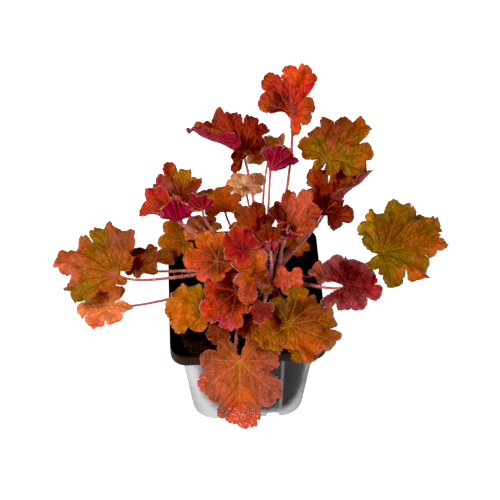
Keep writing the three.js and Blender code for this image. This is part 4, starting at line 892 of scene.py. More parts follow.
def pot_material():
    """Black plastic with a duller brown collar, and a painted reflection of the pale surroundings
    at the body's corners and foot.
    """
    shader = Shader("pot_plastic")
    place = shader.place()
    x, y, z = shader.parts(place)
    dust = shader.noise(place, 0.06, 5.0, 0.65)
    collar = shader.fade(z, BODY_HEIGHT - 1.5, BODY_HEIGHT + 0.5)
    colour = shader.mix(shader.fade(dust, 0.5, 0.8), POT_BLACK, POT_GREY)
    across = shader.math("MINIMUM", abs(x), abs(y))
    corner = shader.math("POWER", across / BODY_HALF_WIDTHS[0], 3.0)
    foot = shader.math("POWER", 1.0 - z / BODY_HEIGHT, 4.0)
    # Painted reflection of the pale surroundings: strongest at the corners, the foot, the left side
    # and the front wall, and broken up by the dust noise.
    painted_reflection = corner + foot * PAINTED_REFLECTION_FOOT + x * PAINTED_REFLECTION_LEAN + (dust - 0.5) * PAINTED_REFLECTION_DUST
    side = shader.fade(y, *PAINTED_REFLECTION_FRONT, 1.0, PAINTED_REFLECTION_SIDE_SHARE) * PAINTED_REFLECTION_SHARE
    painted_reflection = shader.fade(painted_reflection, *PAINTED_REFLECTION_LIMITS) * side * shader.fade(collar, 0, 1, 1.0, 0.0)
    colour = shader.mix(painted_reflection, colour, POT_REFLECTION_WHITE)
    # Painted highlight line, on the front wall only.
    highlight_line = shader.fade(abs(x - HIGHLIGHT_LINE_PLACE), *HIGHLIGHT_LINE_EDGE, HIGHLIGHT_LINE_STRENGTH, 0.0)
    highlight_line = highlight_line * shader.math("LESS_THAN", y, 0.0)
    colour = shader.mix(highlight_line, colour, POT_HIGHLIGHT_LINE)
    colour = shader.mix(collar, colour, POT_COLLAR)
    gloss = shader.fade(dust, 0.3, 0.8, 0.2, 0.36)
    shader.set(
        Base_Color=colour, Roughness=shader.fade(collar, 0, 1, gloss, 0.55),
        Specular_IOR_Level=0.04,
    )
    shader.relief(shader.noise(place, 1.6, 3.0), 0.02, 0.25)
    return shader.material


def soil_material():
    shader = Shader("potting_soil")
    place = shader.place()
    clods = shader.noise(place, 0.5, 6.0, 0.7)
    grit = shader.noise(place, 3.0, 3.0, 0.6)
    colour = shader.mix(shader.fade(clods, 0.35, 0.65), SOIL_DARK, SOIL_LIGHT)
    colour = shader.mix(shader.fade(grit, 0.68, 0.8), colour, SOIL_GRIT)
    shader.set(Base_Color=colour, Roughness=0.95, Specular_IOR_Level=0.2)
    shader.relief(clods + grit, 0.8, 0.9)
    return shader.material


def fibre_material():
    shader = Shader("soil_fibre")
    streaks = shader.noise(shader.place(), 0.8, 3.0)
    shader.set(Base_Color=shader.mix(streaks, FIBRE_DARK, FIBRE_LIGHT), Roughness=0.85)
    return shader.material


def petiole_material():
    shader = Shader("petiole")
    place = shader.place()
    height = shader.parts(place)[2]
    streaks = shader.noise(place, 0.35, 4.0, 0.6)
    broad = shader.noise(place, 0.03, 2.0)
    colour = shader.mix(shader.fade(broad, 0.4, 0.6), STALK_PINK, STALK_RED)
    colour = shader.mix(shader.fade(streaks, 0.45, 0.75), colour, STALK_STREAK)
    foot = shader.fade(height, CROWN_TOP - 4, CROWN_TOP + 14, 0.7, 0.0)
    shader.set(
        Base_Color=shader.mix(foot, colour, STALK_FOOT), Roughness=0.5,
        Sheen_Weight=0.2, Sheen_Roughness=0.4, Sheen_Tint=PALE_PINK, Specular_IOR_Level=0.4,
    )
    shader.relief(streaks, 0.12, 0.5)
    return shader.material


def hair_material(name):
    shader = Shader(name)
    shader.set(Base_Color=PALE_PINK, Roughness=0.5, Specular_IOR_Level=0.3)
    return shader.material


def floor_material():
    """Pale tabletop, lit a little from within so that the plant's shadow stays faint."""
    shader = Shader("floor")
    shader.set(
        Base_Color=FLOOR_WHITE, Roughness=0.6, Specular_IOR_Level=0.1,
        Emission_Color=FLOOR_WHITE, Emission_Strength=FLOOR_GLOW,
    )
    return shader.material


# ---- pot ----------------------------------------------------------------
def turned(x, y, angle):
    cosine, sine = math.cos(angle), math.sin(angle)
    return x * cosine - y * sine, x * sine + y * cosine


def rounded_square(half, radius, z):
    """Corner-rounded square, counter-clockwise, with extra points along its sides."""
    straight = half - radius
    corner = []
    for i in range(CORNER_STEPS + 1):
        angle = i / CORNER_STEPS * math.pi / 2
        corner.append((straight + radius * math.cos(angle), straight + radius * math.sin(angle)))
    corner += [(-share * straight, half) for share in WALL_COLUMNS]
    quarters = [quarter * math.pi / 2 for quarter in range(4)]
    return [(*turned(x, y, quarter), z) for quarter in quarters for x, y in corner]


def body_size(z):
    """The body's half width and corner radius at this height."""
    share = z / BODY_HEIGHT
    return between(BODY_HALF_WIDTHS, share), between(BODY_CORNER_RADII, share)


def body_ring(z, inset):
    half, radius = body_size(z)
    return rounded_square(half - inset, radius - inset, z)


def drain_cutter(offset, side):
    """Arched block that opens the foot of one wall and the edge of the floor."""
    half = DRAIN_WIDTH / 2
    outline = [(-half, -DRAIN_BELOW), (half, -DRAIN_BELOW)]
    for i in range(DRAIN_ARCH_STEPS + 1):
        angle = math.pi * i / DRAIN_ARCH_STEPS
        rise = DRAIN_HEIGHT - DRAIN_ARCH + DRAIN_ARCH * math.sin(angle)
        outline.append((half * math.cos(angle), rise))
    points = []
    for reach in (DRAIN_REACH, -DRAIN_REACH):
        y = BODY_HALF_WIDTHS[0] + reach
        points += [(*turned(x + offset, y, side * math.pi / 2), z) for x, z in outline]
    return new_object("drain_cutter", points, loft_faces(len(outline), 2), [])


def make_pot():
    rings = [body_ring(z, inset) for z, inset in OUTER_BODY_RINGS]
    for z, inset in COLLAR_RINGS:
        rings.append(rounded_square(COLLAR_HALF_WIDTH - inset, COLLAR_CORNER_RADIUS - inset, z))
    rings += [body_ring(z, inset) for z, inset in INNER_BODY_RINGS]
    points = [point for ring in rings for point in ring]
    pot = new_object("pot_shell", points, loft_faces(len(rings[0]), len(rings)), [pot_material()])
    places = itertools.product(range(4), (-DRAIN_OFFSET, DRAIN_OFFSET))
    cutters = [drain_cutter(offset, side) for side, offset in places]
    for cutter in cutters:
        cut = pot.modifiers.new("drain", "BOOLEAN")
        cut.operation = "DIFFERENCE"
        cut.solver = "EXACT"
        cut.object = cutter
    depsgraph = bpy.context.evaluated_depsgraph_get()
    cut_mesh = bpy.data.meshes.new_from_object(pot.evaluated_get(depsgraph))
    pot.modifiers.clear()
    pot.data = cut_mesh
    for cutter in cutters:
        bpy.data.objects.remove(cutter)
    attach(pot, "root")
    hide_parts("pot")


# ---- soil ---------------------------------------------------------------
def soil_height(x, y):
    z = SOIL_LEVEL
    for height, pitch, layer, fractal in (SOIL_LUMPS, SOIL_GRAINS):
        z += height * noise.fractal(Vector((x * pitch, y * pitch, layer)), *fractal)
    return z


def make_soil():
    """Soil bed: a foot inside the pot's chamfer and rings from the wall to the middle."""
    half, radius = body_size(SOIL_LEVEL)
    wall = np.array(rounded_square(half - POT_WALL - SOIL_WALL_GAP, radius - POT_WALL, 0))
    angles = np.arctan2(wall[:, 1], wall[:, 0])
    order = np.argsort(angles)
    bearings = np.linspace(-np.pi, np.pi, SOIL_SIDES, endpoint=False)
    far = np.hypot(wall[:, 0], wall[:, 1])
    reach = np.interp(bearings, angles[order], far[order], period=2 * np.pi)

    def across(share):
        return [(share * r * math.cos(a), share * r * math.sin(a)) for a, r in zip(bearings, reach)]

    base = POT_FLOOR + SOIL_GAP
    foot_share = (BODY_HALF_WIDTHS[0] - POT_WALL - SOIL_GAP) / (BODY_HALF_WIDTHS[1] - POT_WALL)
    points = [(x, y, base) for x, y in across(foot_share * 0.96)]
    points += [(x, y, base + FOOT_CHAMFER) for x, y in across(foot_share)]
    for ring in range(SOIL_RINGS):
        drop = 0 if ring else SOIL_EDGE_DROP
        points += [(x, y, soil_height(x, y) - drop) for x, y in across(1 - ring / SOIL_RINGS)]
    soil = new_object("soil_bed", points, loft_faces(SOIL_SIDES, SOIL_RINGS + 2), [soil_material()])
    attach(soil, "root")
    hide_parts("soil")


def round_ball():
    """Unit ball of 42 points: an icosahedron with every triangle cut in four."""
    golden = (1 + math.sqrt(5)) / 2
    pairs = [(one, far) for far in (golden, -golden) for one in (-1, 1)]
    corners = [(one, far, 0) for one, far in pairs]
    corners += [(0, one, far) for one, far in pairs]
    corners += [(far, 0, one) for one, far in pairs]
    corners = normalised(np.array(corners, dtype=float))
    # Neighbours are 1.05 apart and other corners at least 1.7.
    near = np.linalg.norm(corners[:, None] - corners[None], axis=2) < 1.2
    ball = list(corners)
    middles = {}

    def middle(a, b):
        key = (min(a, b), max(a, b))
        if key not in middles:
            middles[key] = len(ball)
            ball.append(normalised(corners[a] + corners[b]))
        return middles[key]

    triangles = []
    for a, b, c in itertools.combinations(range(len(corners)), 3):
        if near[a, b] and near[b, c] and near[a, c]:
            outward = np.cross(corners[b] - corners[a], corners[c] - corners[a])
            if np.dot(outward, corners[a]) <= 0:
                b, c = c, b
            ab, bc, ca = middle(a, b), middle(b, c), middle(c, a)
            triangles += [(a, ab, ca), (ab, b, bc), (ca, bc, c), (ab, bc, ca)]
    return np.array(ball), np.array(triangles)


def make_soil_crumbs():
    """Small crumpled balls on the soil, all in one mesh."""
    rng = np.random.default_rng(SEED + 1)
    half = BODY_HALF_WIDTHS[1] - CRUMB_WALL_GAP
    centres = []
    while len(centres) < CRUMB_COUNT:
        x, y = rng.uniform(-half, half, 2)
        if math.hypot(x - CROWN_CENTRE[0], y - CROWN_CENTRE[1]) > CROWN_RADIUS + 1:
            centres.append((x, y, soil_height(x, y) + CRUMB_LIFT))
    least, most = CRUMB_SIZES
    sizes = rng.uniform(0, 1, CRUMB_COUNT) ** 3 * (most - least) + least
    ball, triangles = round_ball()
    points, faces = [], []
    for number, (centre, size) in enumerate(zip(np.array(centres), sizes)):
        crumple = 1 + CRUMB_CRUMPLE * rng.standard_normal(len(ball))[:, None]
        squash = rng.uniform(*CRUMB_SQUASH, 3)
        points.append(ball * crumple * squash * size + centre)
        faces.append(triangles + number * len(ball))
    crumbs = new_object(
        "soil_crumbs", np.concatenate(points), np.concatenate(faces), [soil_material()]
    )
    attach(crumbs, "root")


def make_soil_fibres():
    rng = np.random.default_rng(SEED + 2)
    tubes = []
    half = BODY_HALF_WIDTHS[1] - FIBRE_WALL_GAP
    steps = FIBRE_POINTS - 1
    for _ in range(FIBRE_COUNT):
        x, y = rng.uniform(-half, half, 2)
        heading = rng.uniform(0, 2 * math.pi)
        bend = rng.uniform(-FIBRE_BEND, FIBRE_BEND)
        length = rng.uniform(*FIBRE_LENGTHS)
        path = []
        for i in range(FIBRE_POINTS):
            arch = FIBRE_ARCH * math.sin(math.pi * i / steps)
            path.append((x, y, soil_height(x, y) + FIBRE_LIFT + arch))
            x += length / steps * math.cos(heading)
            y += length / steps * math.sin(heading)
            heading += bend
        radius = rng.uniform(*FIBRE_RADII)
        tubes.append(tube(np.array(path), np.full(FIBRE_POINTS, radius), FIBRE_SIDES))
    fibres = new_object("soil_fibres", *joined(tubes), [fibre_material()])
    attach(fibres, "root")


# ---- blades -------------------------------------------------------------
def leaf_axes(leaf):
    """Hub, upward normal, direction of the middle lobe and the direction across it."""
    tilt, face, middle = (math.radians(angle) for angle in leaf["turn"])
    lean = math.sin(tilt)
    normal = np.array((lean * math.cos(face), lean * math.sin(face), math.cos(tilt)))
    climb = -(math.cos(middle) * normal[0] + math.sin(middle) * normal[1]) / normal[2]
    along = normalised(np.array((math.cos(middle), math.sin(middle), climb)))
    return np.array(leaf["hub"], dtype=float), normal, along, np.cross(normal, along)


def hub_slope(leaf, lobe):
    return lobe[4] if len(lobe) > 4 else leaf["cup"]


def lobe_facts(leaf):
    """Each lobe with its limits, its notches and the slopes of its neighbours."""
    lobes = leaf["lobes"]
    facts = []
    for before, lobe, after in zip([None] + lobes[:-1], lobes, lobes[1:] + [None]):
        angle, length, lift = lobe[:3]
        root = hub_slope(leaf, lobe)
        basal = min(BASAL_NOTCH, BASAL_NOTCH_SHARE * length)
        if before:
            low = (before[0] + angle) / 2
        else:
            low = max(-SINUS_LIMIT, angle - OUTER_SPREAD * (after[0] - angle))
        if after:
            high = (angle + after[0]) / 2
        else:
            high = min(SINUS_LIMIT, angle + OUTER_SPREAD * (angle - before[0]))
        facts.append(dict(
            angle=angle, length=length, lift=lift, root=root, low=low, high=high,
            notch_before=before[3] * (before[1] + length) / 2 if before else basal,
            notch_after=lobe[3] * (length + after[1]) / 2 if after else basal,
            lift_before=before[2] if before else lift,
            lift_after=after[2] if after else lift,
            root_before=hub_slope(leaf, before) if before else root,
            root_after=hub_slope(leaf, after) if after else root,
        ))
    return facts


def coarse_form(facts, theta):
    """CAD blade at each direction: reach, bend length, slopes, place in the lobe, lobe."""
    reach, bend, lift, root, place = (np.zeros_like(theta) for _ in range(5))
    owner = np.zeros(theta.shape, dtype=int)
    last = len(facts) - 1
    for k, lobe in enumerate(facts):
        low = -math.inf if k == 0 else lobe["low"]
        high = math.inf if k == last else lobe["high"]
        for side in ("before", "after"):
            if side == "before":
                inside = (theta >= low) & (theta < lobe["angle"])
                size = (lobe["angle"] - theta[inside]) / (lobe["angle"] - lobe["low"])
            else:
                inside = (theta >= lobe["angle"]) & (theta <= high)
                size = (theta[inside] - lobe["angle"]) / (lobe["high"] - lobe["angle"])
            size = np.clip(size, 0, 1)
            notch = lobe["notch_" + side]
            far = notch + (lobe["length"] - notch) * np.sqrt(1 - size ** LOBE_ROUNDNESS)
            blend = LOBE_BLEND * size ** 2
            reach[inside] = far
            lift[inside] = lobe["lift"] + (lobe["lift_" + side] - lobe["lift"]) * blend
            root[inside] = lobe["root"] + (lobe["root_" + side] - lobe["root"]) * blend
            place[inside] = size
            owner[inside] = k
            outer = (k == 0 and side == "before") or (k == last and side == "after")
            bend[inside] = np.maximum(far, OUTER_BEND_SHARE * lobe["length"]) if outer else far
    return reach, bend, lift, root, place, owner


def basal_reach(facts, theta):
    """Outline behind the hub, between the last lobe and the first."""
    first, last = facts[0], facts[-1]
    width = 360 + first["low"] - last["high"]
    centre = last["high"] + width / 2
    gap = np.abs(theta - centre)
    basal = min(first["notch_before"], last["notch_after"])
    if width < WIDEST_SINUS:
        chord = basal * math.cos(math.radians(width / 2)) / np.cos(np.radians(gap))
        return np.maximum(LEAST_HUB_REACH, chord)
    return np.maximum(LEAST_HUB_REACH, basal * np.exp((gap - width / 2) / BASAL_FLARE))


def scallops(places, edges, depths):
    """Rounded bulges between the edges, cut back at each edge by its depth."""
    number = np.clip(np.searchsorted(edges, places) - 1, 0, len(edges) - 2)
    centre = (edges[number] + edges[number + 1]) / 2
    across = (places - centre) / ((edges[number + 1] - edges[number]) / 2)
    depth = np.where(across < 0, depths[number], depths[number + 1])
    return -depth * np.abs(across) ** TOOTH_ROUNDNESS


def tooth_offsets(facts, theta, arc, samples, rng):
    """Outward displacement of the outline at each sample: teeth in rounded groups.

    theta and arc give how far along the outline each direction is.
    """
    offset = np.zeros_like(samples)
    for lobe in facts:
        start, tip, end = (np.interp(lobe[key], theta, arc) for key in ("low", "angle", "high"))
        first = start + BARE_FLANK * (tip - start)
        final = end - BARE_FLANK * (end - tip)
        width = TOOTH_WIDTH_LEAST + TOOTH_WIDTH_SHARE * lobe["length"]
        width = np.clip(width, *TOOTH_WIDTH_LIMITS)
        left = max(1, round((tip - width / 2 - first) / width))
        right = max(1, round((final - tip - width / 2) / width))
        edges = np.concatenate([
            np.linspace(first, tip - width / 2, left + 1),
            np.linspace(tip + width / 2, final, right + 1),
        ])
        edges[1:-1] += width * rng.uniform(-TOOTH_WIDTH_SPREAD, TOOTH_WIDTH_SPREAD, len(edges) - 2)
        depths = width * rng.uniform(*TOOTH_DEPTH_SHARES, len(edges))
        inside = (samples >= edges[0]) & (samples <= edges[-1])
        here = samples[inside]
        shape = scallops(here, edges, depths) + OUTWARD_SHARE * depths.mean()
        chosen = [0]
        while chosen[-1] < len(edges) - 1:
            chosen.append(min(len(edges) - 1, chosen[-1] + int(rng.integers(*TEETH_IN_GROUP))))
        cuts = lobe["length"] * rng.uniform(*GROUP_DEPTHS, len(chosen))
        shape += scallops(here, edges[chosen], cuts) + OUTWARD_SHARE * cuts.mean()
        ramp = smooth_step(np.minimum(here - edges[0], edges[-1] - here), 0, width)
        offset[inside] += shape * ramp
    return offset


def closed_loop(points):
    return np.vstack([points, points[:1]])


def arc_lengths(curve):
    return np.concatenate([[0], np.cumsum(np.linalg.norm(np.diff(curve, axis=0), axis=1))])


def along_curve(curve, arc, places):
    return np.stack([np.interp(places, arc, column) for column in curve.T], axis=1)


def blade_outline(leaf, facts, rng):
    """Closed outline of the toothed blade in its own plane, evenly spaced."""
    first, last = facts[0], facts[-1]
    theta = np.arange(first["low"], last["high"], LOBE_ANGLE_STEP)
    reach = coarse_form(facts, theta)[0]
    start = last["high"] + BASAL_ANGLE_STEP / 2
    behind = np.arange(start, first["low"] + 360, BASAL_ANGLE_STEP)
    radius = np.concatenate([reach, basal_reach(facts, behind)])
    angles = np.radians(np.concatenate([theta, behind]))
    curve = closed_loop(radius[:, None] * np.stack([np.cos(angles), np.sin(angles)], axis=1))
    arc = arc_lengths(curve)
    samples = np.arange(0, arc[-1], OUTLINE_STEP)
    even = along_curve(curve, arc, samples)
    beside = max(1, round(TANGENT_REACH / OUTLINE_STEP))
    tangent = normalised(np.roll(even, -beside, axis=0) - np.roll(even, beside, axis=0))
    outward = np.stack([tangent[:, 1], -tangent[:, 0]], axis=1)
    offsets = tooth_offsets(facts, theta, arc[:len(theta)], samples, rng)
    toothed = closed_loop(even + outward * offsets[:, None])
    arc = arc_lengths(toothed)
    count = max(LEAST_OUTLINE_POINTS, int(arc[-1] / leaf["step"]))
    return along_curve(toothed, arc, np.linspace(0, arc[-1], count, endpoint=False))


def in_chunks(measure, points):
    """The measure of every point, worked out for some of them at a time."""
    starts = range(0, len(points), CHUNK)
    return np.concatenate([measure(points[start:start + CHUNK][:, None]) for start in starts])


def inside_outline(points, outline):
    """Which points are inside a closed outline."""
    start, end = outline, np.roll(outline, -1, axis=0)

    def inside(some):
        x, y = some[..., 0], some[..., 1]
        crosses = (start[:, 1] > y) != (end[:, 1] > y)
        rise = np.where(crosses, end[:, 1] - start[:, 1], 1)
        where = start[:, 0] + (y - start[:, 1]) * (end[:, 0] - start[:, 0]) / rise
        return np.sum(crosses & (x < where), axis=1) % 2 == 1

    return in_chunks(inside, points)


def distance_to_outline(points, outline):
    run = np.roll(outline, -1, axis=0) - outline
    size = np.maximum(np.sum(run * run, axis=1), TINY)

    def nearest(some):
        from_start = some - outline
        share = np.clip(np.sum(from_start * run, axis=2) / size, 0, 1)
        return np.linalg.norm(from_start - share[:, :, None] * run, axis=2).min(axis=1)

    return in_chunks(nearest, points)


def blade_plane_mesh(leaf, outline):
    """Triangles over the flat blade: outline points and an even field inside."""
    spacing = FIELD_SPACING_SHARE * leaf["step"]
    low, high = outline.min(axis=0), outline.max(axis=0)
    field = []
    for number, y in enumerate(np.arange(low[1], high[1], spacing * math.sqrt(0.75))):
        xs = np.arange(low[0] + (number % 2) * spacing / 2, high[0], spacing)
        field.append(np.stack([xs, np.full_like(xs, y)], axis=1))
    field = np.concatenate(field)
    field = field[inside_outline(field, outline)]
    field = field[distance_to_outline(field, outline) > 0.5 * spacing]
    everything = [Vector(point) for point in np.concatenate([outline, field])]
    loop = list(range(len(outline)))
    inside_only = 1
    made = delaunay_2d_cdt(everything, [], [loop], inside_only, MERGE_DISTANCE)
    points = np.array([tuple(point) for point in made[0]])
    triangles = np.array([tuple(face) for face in made[2]])
    corners = points[triangles]
    first = corners[:, 1] - corners[:, 0]
    second = corners[:, 2] - corners[:, 0]
    clockwise = first[:, 0] * second[:, 1] - first[:, 1] * second[:, 0] < 0
    triangles[clockwise] = triangles[clockwise][:, ::-1]
    return points, triangles


def vein_coordinates(facts, xy, owner):
    """Distance across and along the main vein of the owning lobe, and its length."""
    heading = np.radians(np.array([lobe["angle"] for lobe in facts]))[owner]
    length = np.array([lobe["length"] for lobe in facts], dtype=float)[owner]
    along = xy[..., 0] * np.cos(heading) + xy[..., 1] * np.sin(heading)
    across = xy[..., 1] * np.cos(heading) - xy[..., 0] * np.sin(heading)
    return np.stack([across, along, length], axis=-1)


def polar_angle(xy, facts):
    """Angle in degrees, cut in the middle of the basal sinus."""
    middle = (facts[0]["low"] + facts[-1]["high"]) / 2
    theta = np.degrees(np.arctan2(xy[..., 1], xy[..., 0]))
    return (theta - middle + 180) % 360 - 180 + middle


def blade_relief(leaf, facts, xy, margin, share, owner, rng):
    """Height of the finer relief over the CAD's mid surface."""
    across, along, _ = np.moveaxis(vein_coordinates(facts, xy, owner), -1, 0)
    x, y = xy.T
    longest, spacing = leaf["longest"], leaf["spacing"]
    gap = np.abs(across)
    run = (along - gap / math.tan(math.radians(VEIN_ANGLE))) / spacing + 0.5 * (across > 0)
    pucker = 0.5 - 0.5 * np.cos(2 * np.pi * run)
    body = smooth_step(gap, 0, 0.5 * spacing) * smooth_step(share, *PUCKER_START)
    body *= smooth_step(margin, 0, PUCKER_MARGIN)
    height = PUCKER_HEIGHT * (spacing / VEIN_SPACING_LIMITS[1]) * pucker * body
    groove = GROOVE_DEPTH * np.exp(-(gap / GROOVE_WIDTH) ** 2)
    height -= groove * smooth_step(share, 0, GROOVE_START) * (1 - GROOVE_THINNING * share)
    ruffle = np.clip(RUFFLE_HEIGHT * longest, *RUFFLE_LIMITS)
    ruffle = ruffle * waves(x, y, RUFFLE_WAVE, RUFFLE_WAVES, rng)
    ruffle = ruffle * np.exp(-(margin / RUFFLE_WIDTH) ** 2)
    height += ruffle * smooth_step(share, *RUFFLE_START)
    swell_wave = [limit * longest for limit in SWELL_WAVE_SHARES]
    swell = waves(x, y, swell_wave, SWELL_WAVES, rng)
    return height + SWELL_SHARE * longest * swell * share


def blade_surface(leaf, facts, xy, margin, rng):
    """Places on the bent blade, in the leaf's own frame."""
    theta = polar_angle(xy, facts)
    radius = np.hypot(xy[:, 0], xy[:, 1])
    _, bend_reach, lift, root, place, owner = coarse_form(facts, theta)
    share = np.clip(radius / np.maximum(bend_reach, TINY), 0, PAST_TIP)
    cup = np.radians(root)
    bend = np.radians(lift - root)
    bend = np.where(np.abs(bend) < LEAST_BEND, LEAST_BEND, bend)
    slope = cup + bend * share
    out = bend_reach / bend * (np.sin(slope) - np.sin(cup))
    up = bend_reach / bend * (np.cos(cup) - np.cos(slope))
    height, count, phase = leaf["wave"]
    turn = np.radians(theta)
    ripple = np.sin(count * turn + math.radians(phase))
    ripple += FINE_RIPPLE * np.sin((count + 4) * turn + 2 * math.radians(phase))
    pleat = PLEAT_HEIGHT * share * (np.sin(0.5 * np.pi * place) ** 2 - 0.5)
    rise = bend_reach * (height * ripple * share ** 2 + pleat)
    rise += blade_relief(leaf, facts, xy, margin, share, owner, rng)
    far = out - rise * np.sin(slope)
    own = np.stack([far * np.cos(turn), far * np.sin(turn), up + rise * np.cos(slope)], axis=1)
    return own, share


def make_blade(leaf, number):
    """Leaf blade piece; returns what its hairs need."""
    look = leaf["look"]
    rng = np.random.default_rng(SEED + 100 + number)
    facts = lobe_facts(leaf)
    outline = blade_outline(leaf, facts, rng)
    xy, triangles = blade_plane_mesh(leaf, outline)
    margin = distance_to_outline(xy, outline)
    own, share = blade_surface(leaf, facts, xy, margin, rng)
    hub, normal, along, across = leaf_axes(leaf)
    middle = hub + own @ np.stack([along, across, normal])
    normals = vertex_normals(middle, triangles)
    thinning = RIM_THINNING * np.exp(-margin / RIM_THINNING_WIDTH)
    thickness = HALF_THICKNESS * (1 - thinning)[:, None]
    points = np.concatenate([middle + normals * thickness, middle - normals * thickness])
    count = len(middle)
    start, end = border_edges(triangles).T
    rim = np.concatenate([
        np.stack([start, start + count, end + count], axis=1),
        np.stack([start, end + count, end], axis=1),
    ])
    faces = np.concatenate([triangles, triangles[:, ::-1] + count, rim])
    materials = [leaf_top_material(leaf, number), leaf_under_material(leaf, number)]
    blade = new_object(leaf["name"] + "_blade", points, faces, materials)
    under = np.zeros(len(faces), dtype=np.int32)
    under[len(triangles):2 * len(triangles)] = 1
    blade.data.polygons.foreach_set("material_index", under)
    write_attributes(blade.data, facts, xy, faces % count, share, margin)
    write_bake_map(blade.data, xy, faces % count, under)
    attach(blade, "root")
    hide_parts(leaf["name"])
    edge = normalised(middle[end] - middle[start])
    return dict(
        family=look["family"], points=middle, normals=normals, triangles=triangles,
        edge_start=middle[start], edge_end=middle[end],
        edge_outward=np.cross(edge, normals[start]), edge_normal=normals[start],
    )


def write_attributes(mesh, facts, xy, flat_faces, share, margin):
    """Blade coordinates for the shaders; vein coordinates keep to each face's lobe."""
    blade = np.tile(np.concatenate([xy, share[:, None]], axis=1), (2, 1))
    middles = xy[flat_faces].mean(axis=1)
    owner = coarse_form(facts, polar_angle(middles, facts))[5]
    vein = vein_coordinates(facts, xy[flat_faces], np.repeat(owner[:, None], 3, axis=1))
    for name, kind, domain, key, values in (
        ("blade", "FLOAT_VECTOR", "POINT", "vector", blade),
        ("margin", "FLOAT", "POINT", "value", np.tile(margin, 2)),
        ("vein", "FLOAT_VECTOR", "CORNER", "vector", vein),
    ):
        mesh.attributes.new(name, kind, domain).data.foreach_set(key, values.ravel())


def write_bake_map(mesh, xy, flat_faces, under):
    """Map for baked colours: the top side in its left half, the underside in its right."""
    low = xy.min(axis=0)
    size = (xy.max(axis=0) - low).max()
    flat = (xy[flat_faces] - low) / size
    shift = np.where(under == 1, 0.5, 0.0)[:, None]
    u = 0.01 + 0.48 * flat[:, :, 0] + shift
    v = 0.01 + 0.98 * flat[:, :, 1]
    layer = mesh.uv_layers.new(name="OFBake")
    layer.data.foreach_set("uv", np.stack([u, v], axis=-1).ravel().astype(np.float32))


# ---- petioles and crown --------------------------------------------------
def petiole_path(leaf):
    hub, normal, along, _ = leaf_axes(leaf)
    cad_end = hub - normal * (CAD_HALF_THICKNESS + CAD_GAP)
    end = hub - normal * HALF_THICKNESS
    bearing = math.atan2(hub[1] - CROWN_CENTRE[1], hub[0] - CROWN_CENTRE[0])
    outward = np.array((math.cos(bearing), math.sin(bearing), 0))
    sideways = np.array((-math.sin(bearing), math.cos(bearing), 0)) * leaf["bow"]
    start = np.array((*CROWN_CENTRE, CROWN_TOP - PETIOLE_SUNK))
    start = start + outward * PETIOLE_ROOT_SHARE * CROWN_RADIUS
    span = np.linalg.norm(cad_end - start)
    leave = start + outward * PETIOLE_LEAN * span + sideways
    leave[2] += leaf["rise"] * span
    below, behind = leaf["neck"]
    arrive = cad_end - normal * below * span - along * behind * span + sideways
    t = np.linspace(0, 1, PETIOLE_STEPS + 1)[:, None]
    path = (1 - t) ** 3 * start + 3 * (1 - t) ** 2 * t * leave
    return path + 3 * (1 - t) * t ** 2 * arrive + t ** 3 * end


def petiole_radii(leaf):
    """Thicker at the foot, with a small knee where it meets the blade."""
    size = np.clip(PETIOLE_SIZE + PETIOLE_SIZE_GAIN * leaf["longest"], *PETIOLE_SIZE_LIMITS)
    t = np.linspace(0, 1, PETIOLE_STEPS + 1)
    foot = PETIOLE_FOOT[0] * np.exp(-t / PETIOLE_FOOT[1])
    knee = PETIOLE_KNEE[0] * np.exp(-(1 - t) / PETIOLE_KNEE[1])
    return (between(PETIOLE_RADII, t ** PETIOLE_TAPER) + (foot + knee)) * size


def crown_dome():
    """Knobbly top of the rootstock."""
    points = []
    for ring in range(CROWN_RINGS):
        share = ring / (CROWN_RINGS - 1)
        z = between((CROWN_BOTTOM, CROWN_TOP), share)
        taper = CROWN_TAPER[0] + CROWN_TAPER[1] * share
        radius = CROWN_RADIUS * math.sqrt(max(0.0, 1 - share ** 5)) * taper + 0.4
        for i in range(CROWN_SIDES):
            angle = 2 * math.pi * i / CROWN_SIDES
            x, y = math.cos(angle), math.sin(angle)
            knob = noise.fractal(Vector((2 * x, 2 * y, z * 0.3)), 1.0, 2.0, 4)
            far = radius * (1 + CROWN_KNOBS * knob)
            points.append((CROWN_CENTRE[0] + far * x, CROWN_CENTRE[1] + far * y, z))
    return np.array(points), loft_faces(CROWN_SIDES, CROWN_RINGS)


def sheath(rng):
    """Short pointed bud scale that leans out of the crown."""
    angle = rng.uniform(0, 2 * np.pi)
    outward = np.array((math.cos(angle), math.sin(angle), 0))
    start = np.array((*CROWN_CENTRE, CROWN_TOP - SHEATH_DEPTH))
    start = start + outward * CROWN_RADIUS * rng.uniform(*SHEATH_PLACES)
    height = rng.uniform(*SHEATH_HEIGHTS)
    t = np.linspace(0, 1, SHEATH_POINTS)[:, None]
    path = start + outward * height * SHEATH_LEAN * t ** 2
    path = path + np.array((0, 0, 1.0)) * height * t
    radii = rng.uniform(*SHEATH_RADII) * np.sqrt(1 - 0.97 * t[:, 0] ** 1.5)
    return tube(path, radii, SHEATH_SIDES)


def make_stems():
    rng = np.random.default_rng(SEED + 3)
    paths = [petiole_path(leaf) for leaf in LEAVES]
    radii = [petiole_radii(leaf) for leaf in LEAVES]
    parts = [crown_dome()]
    parts += [sheath(rng) for _ in range(SHEATH_COUNT)]
    parts += [tube(path, size, PETIOLE_SIDES) for path, size in zip(paths, radii)]
    stems = new_object("petioles_and_crown", *joined(parts), [petiole_material()])
    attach(stems, "root")
    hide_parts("stems")
    return paths, radii


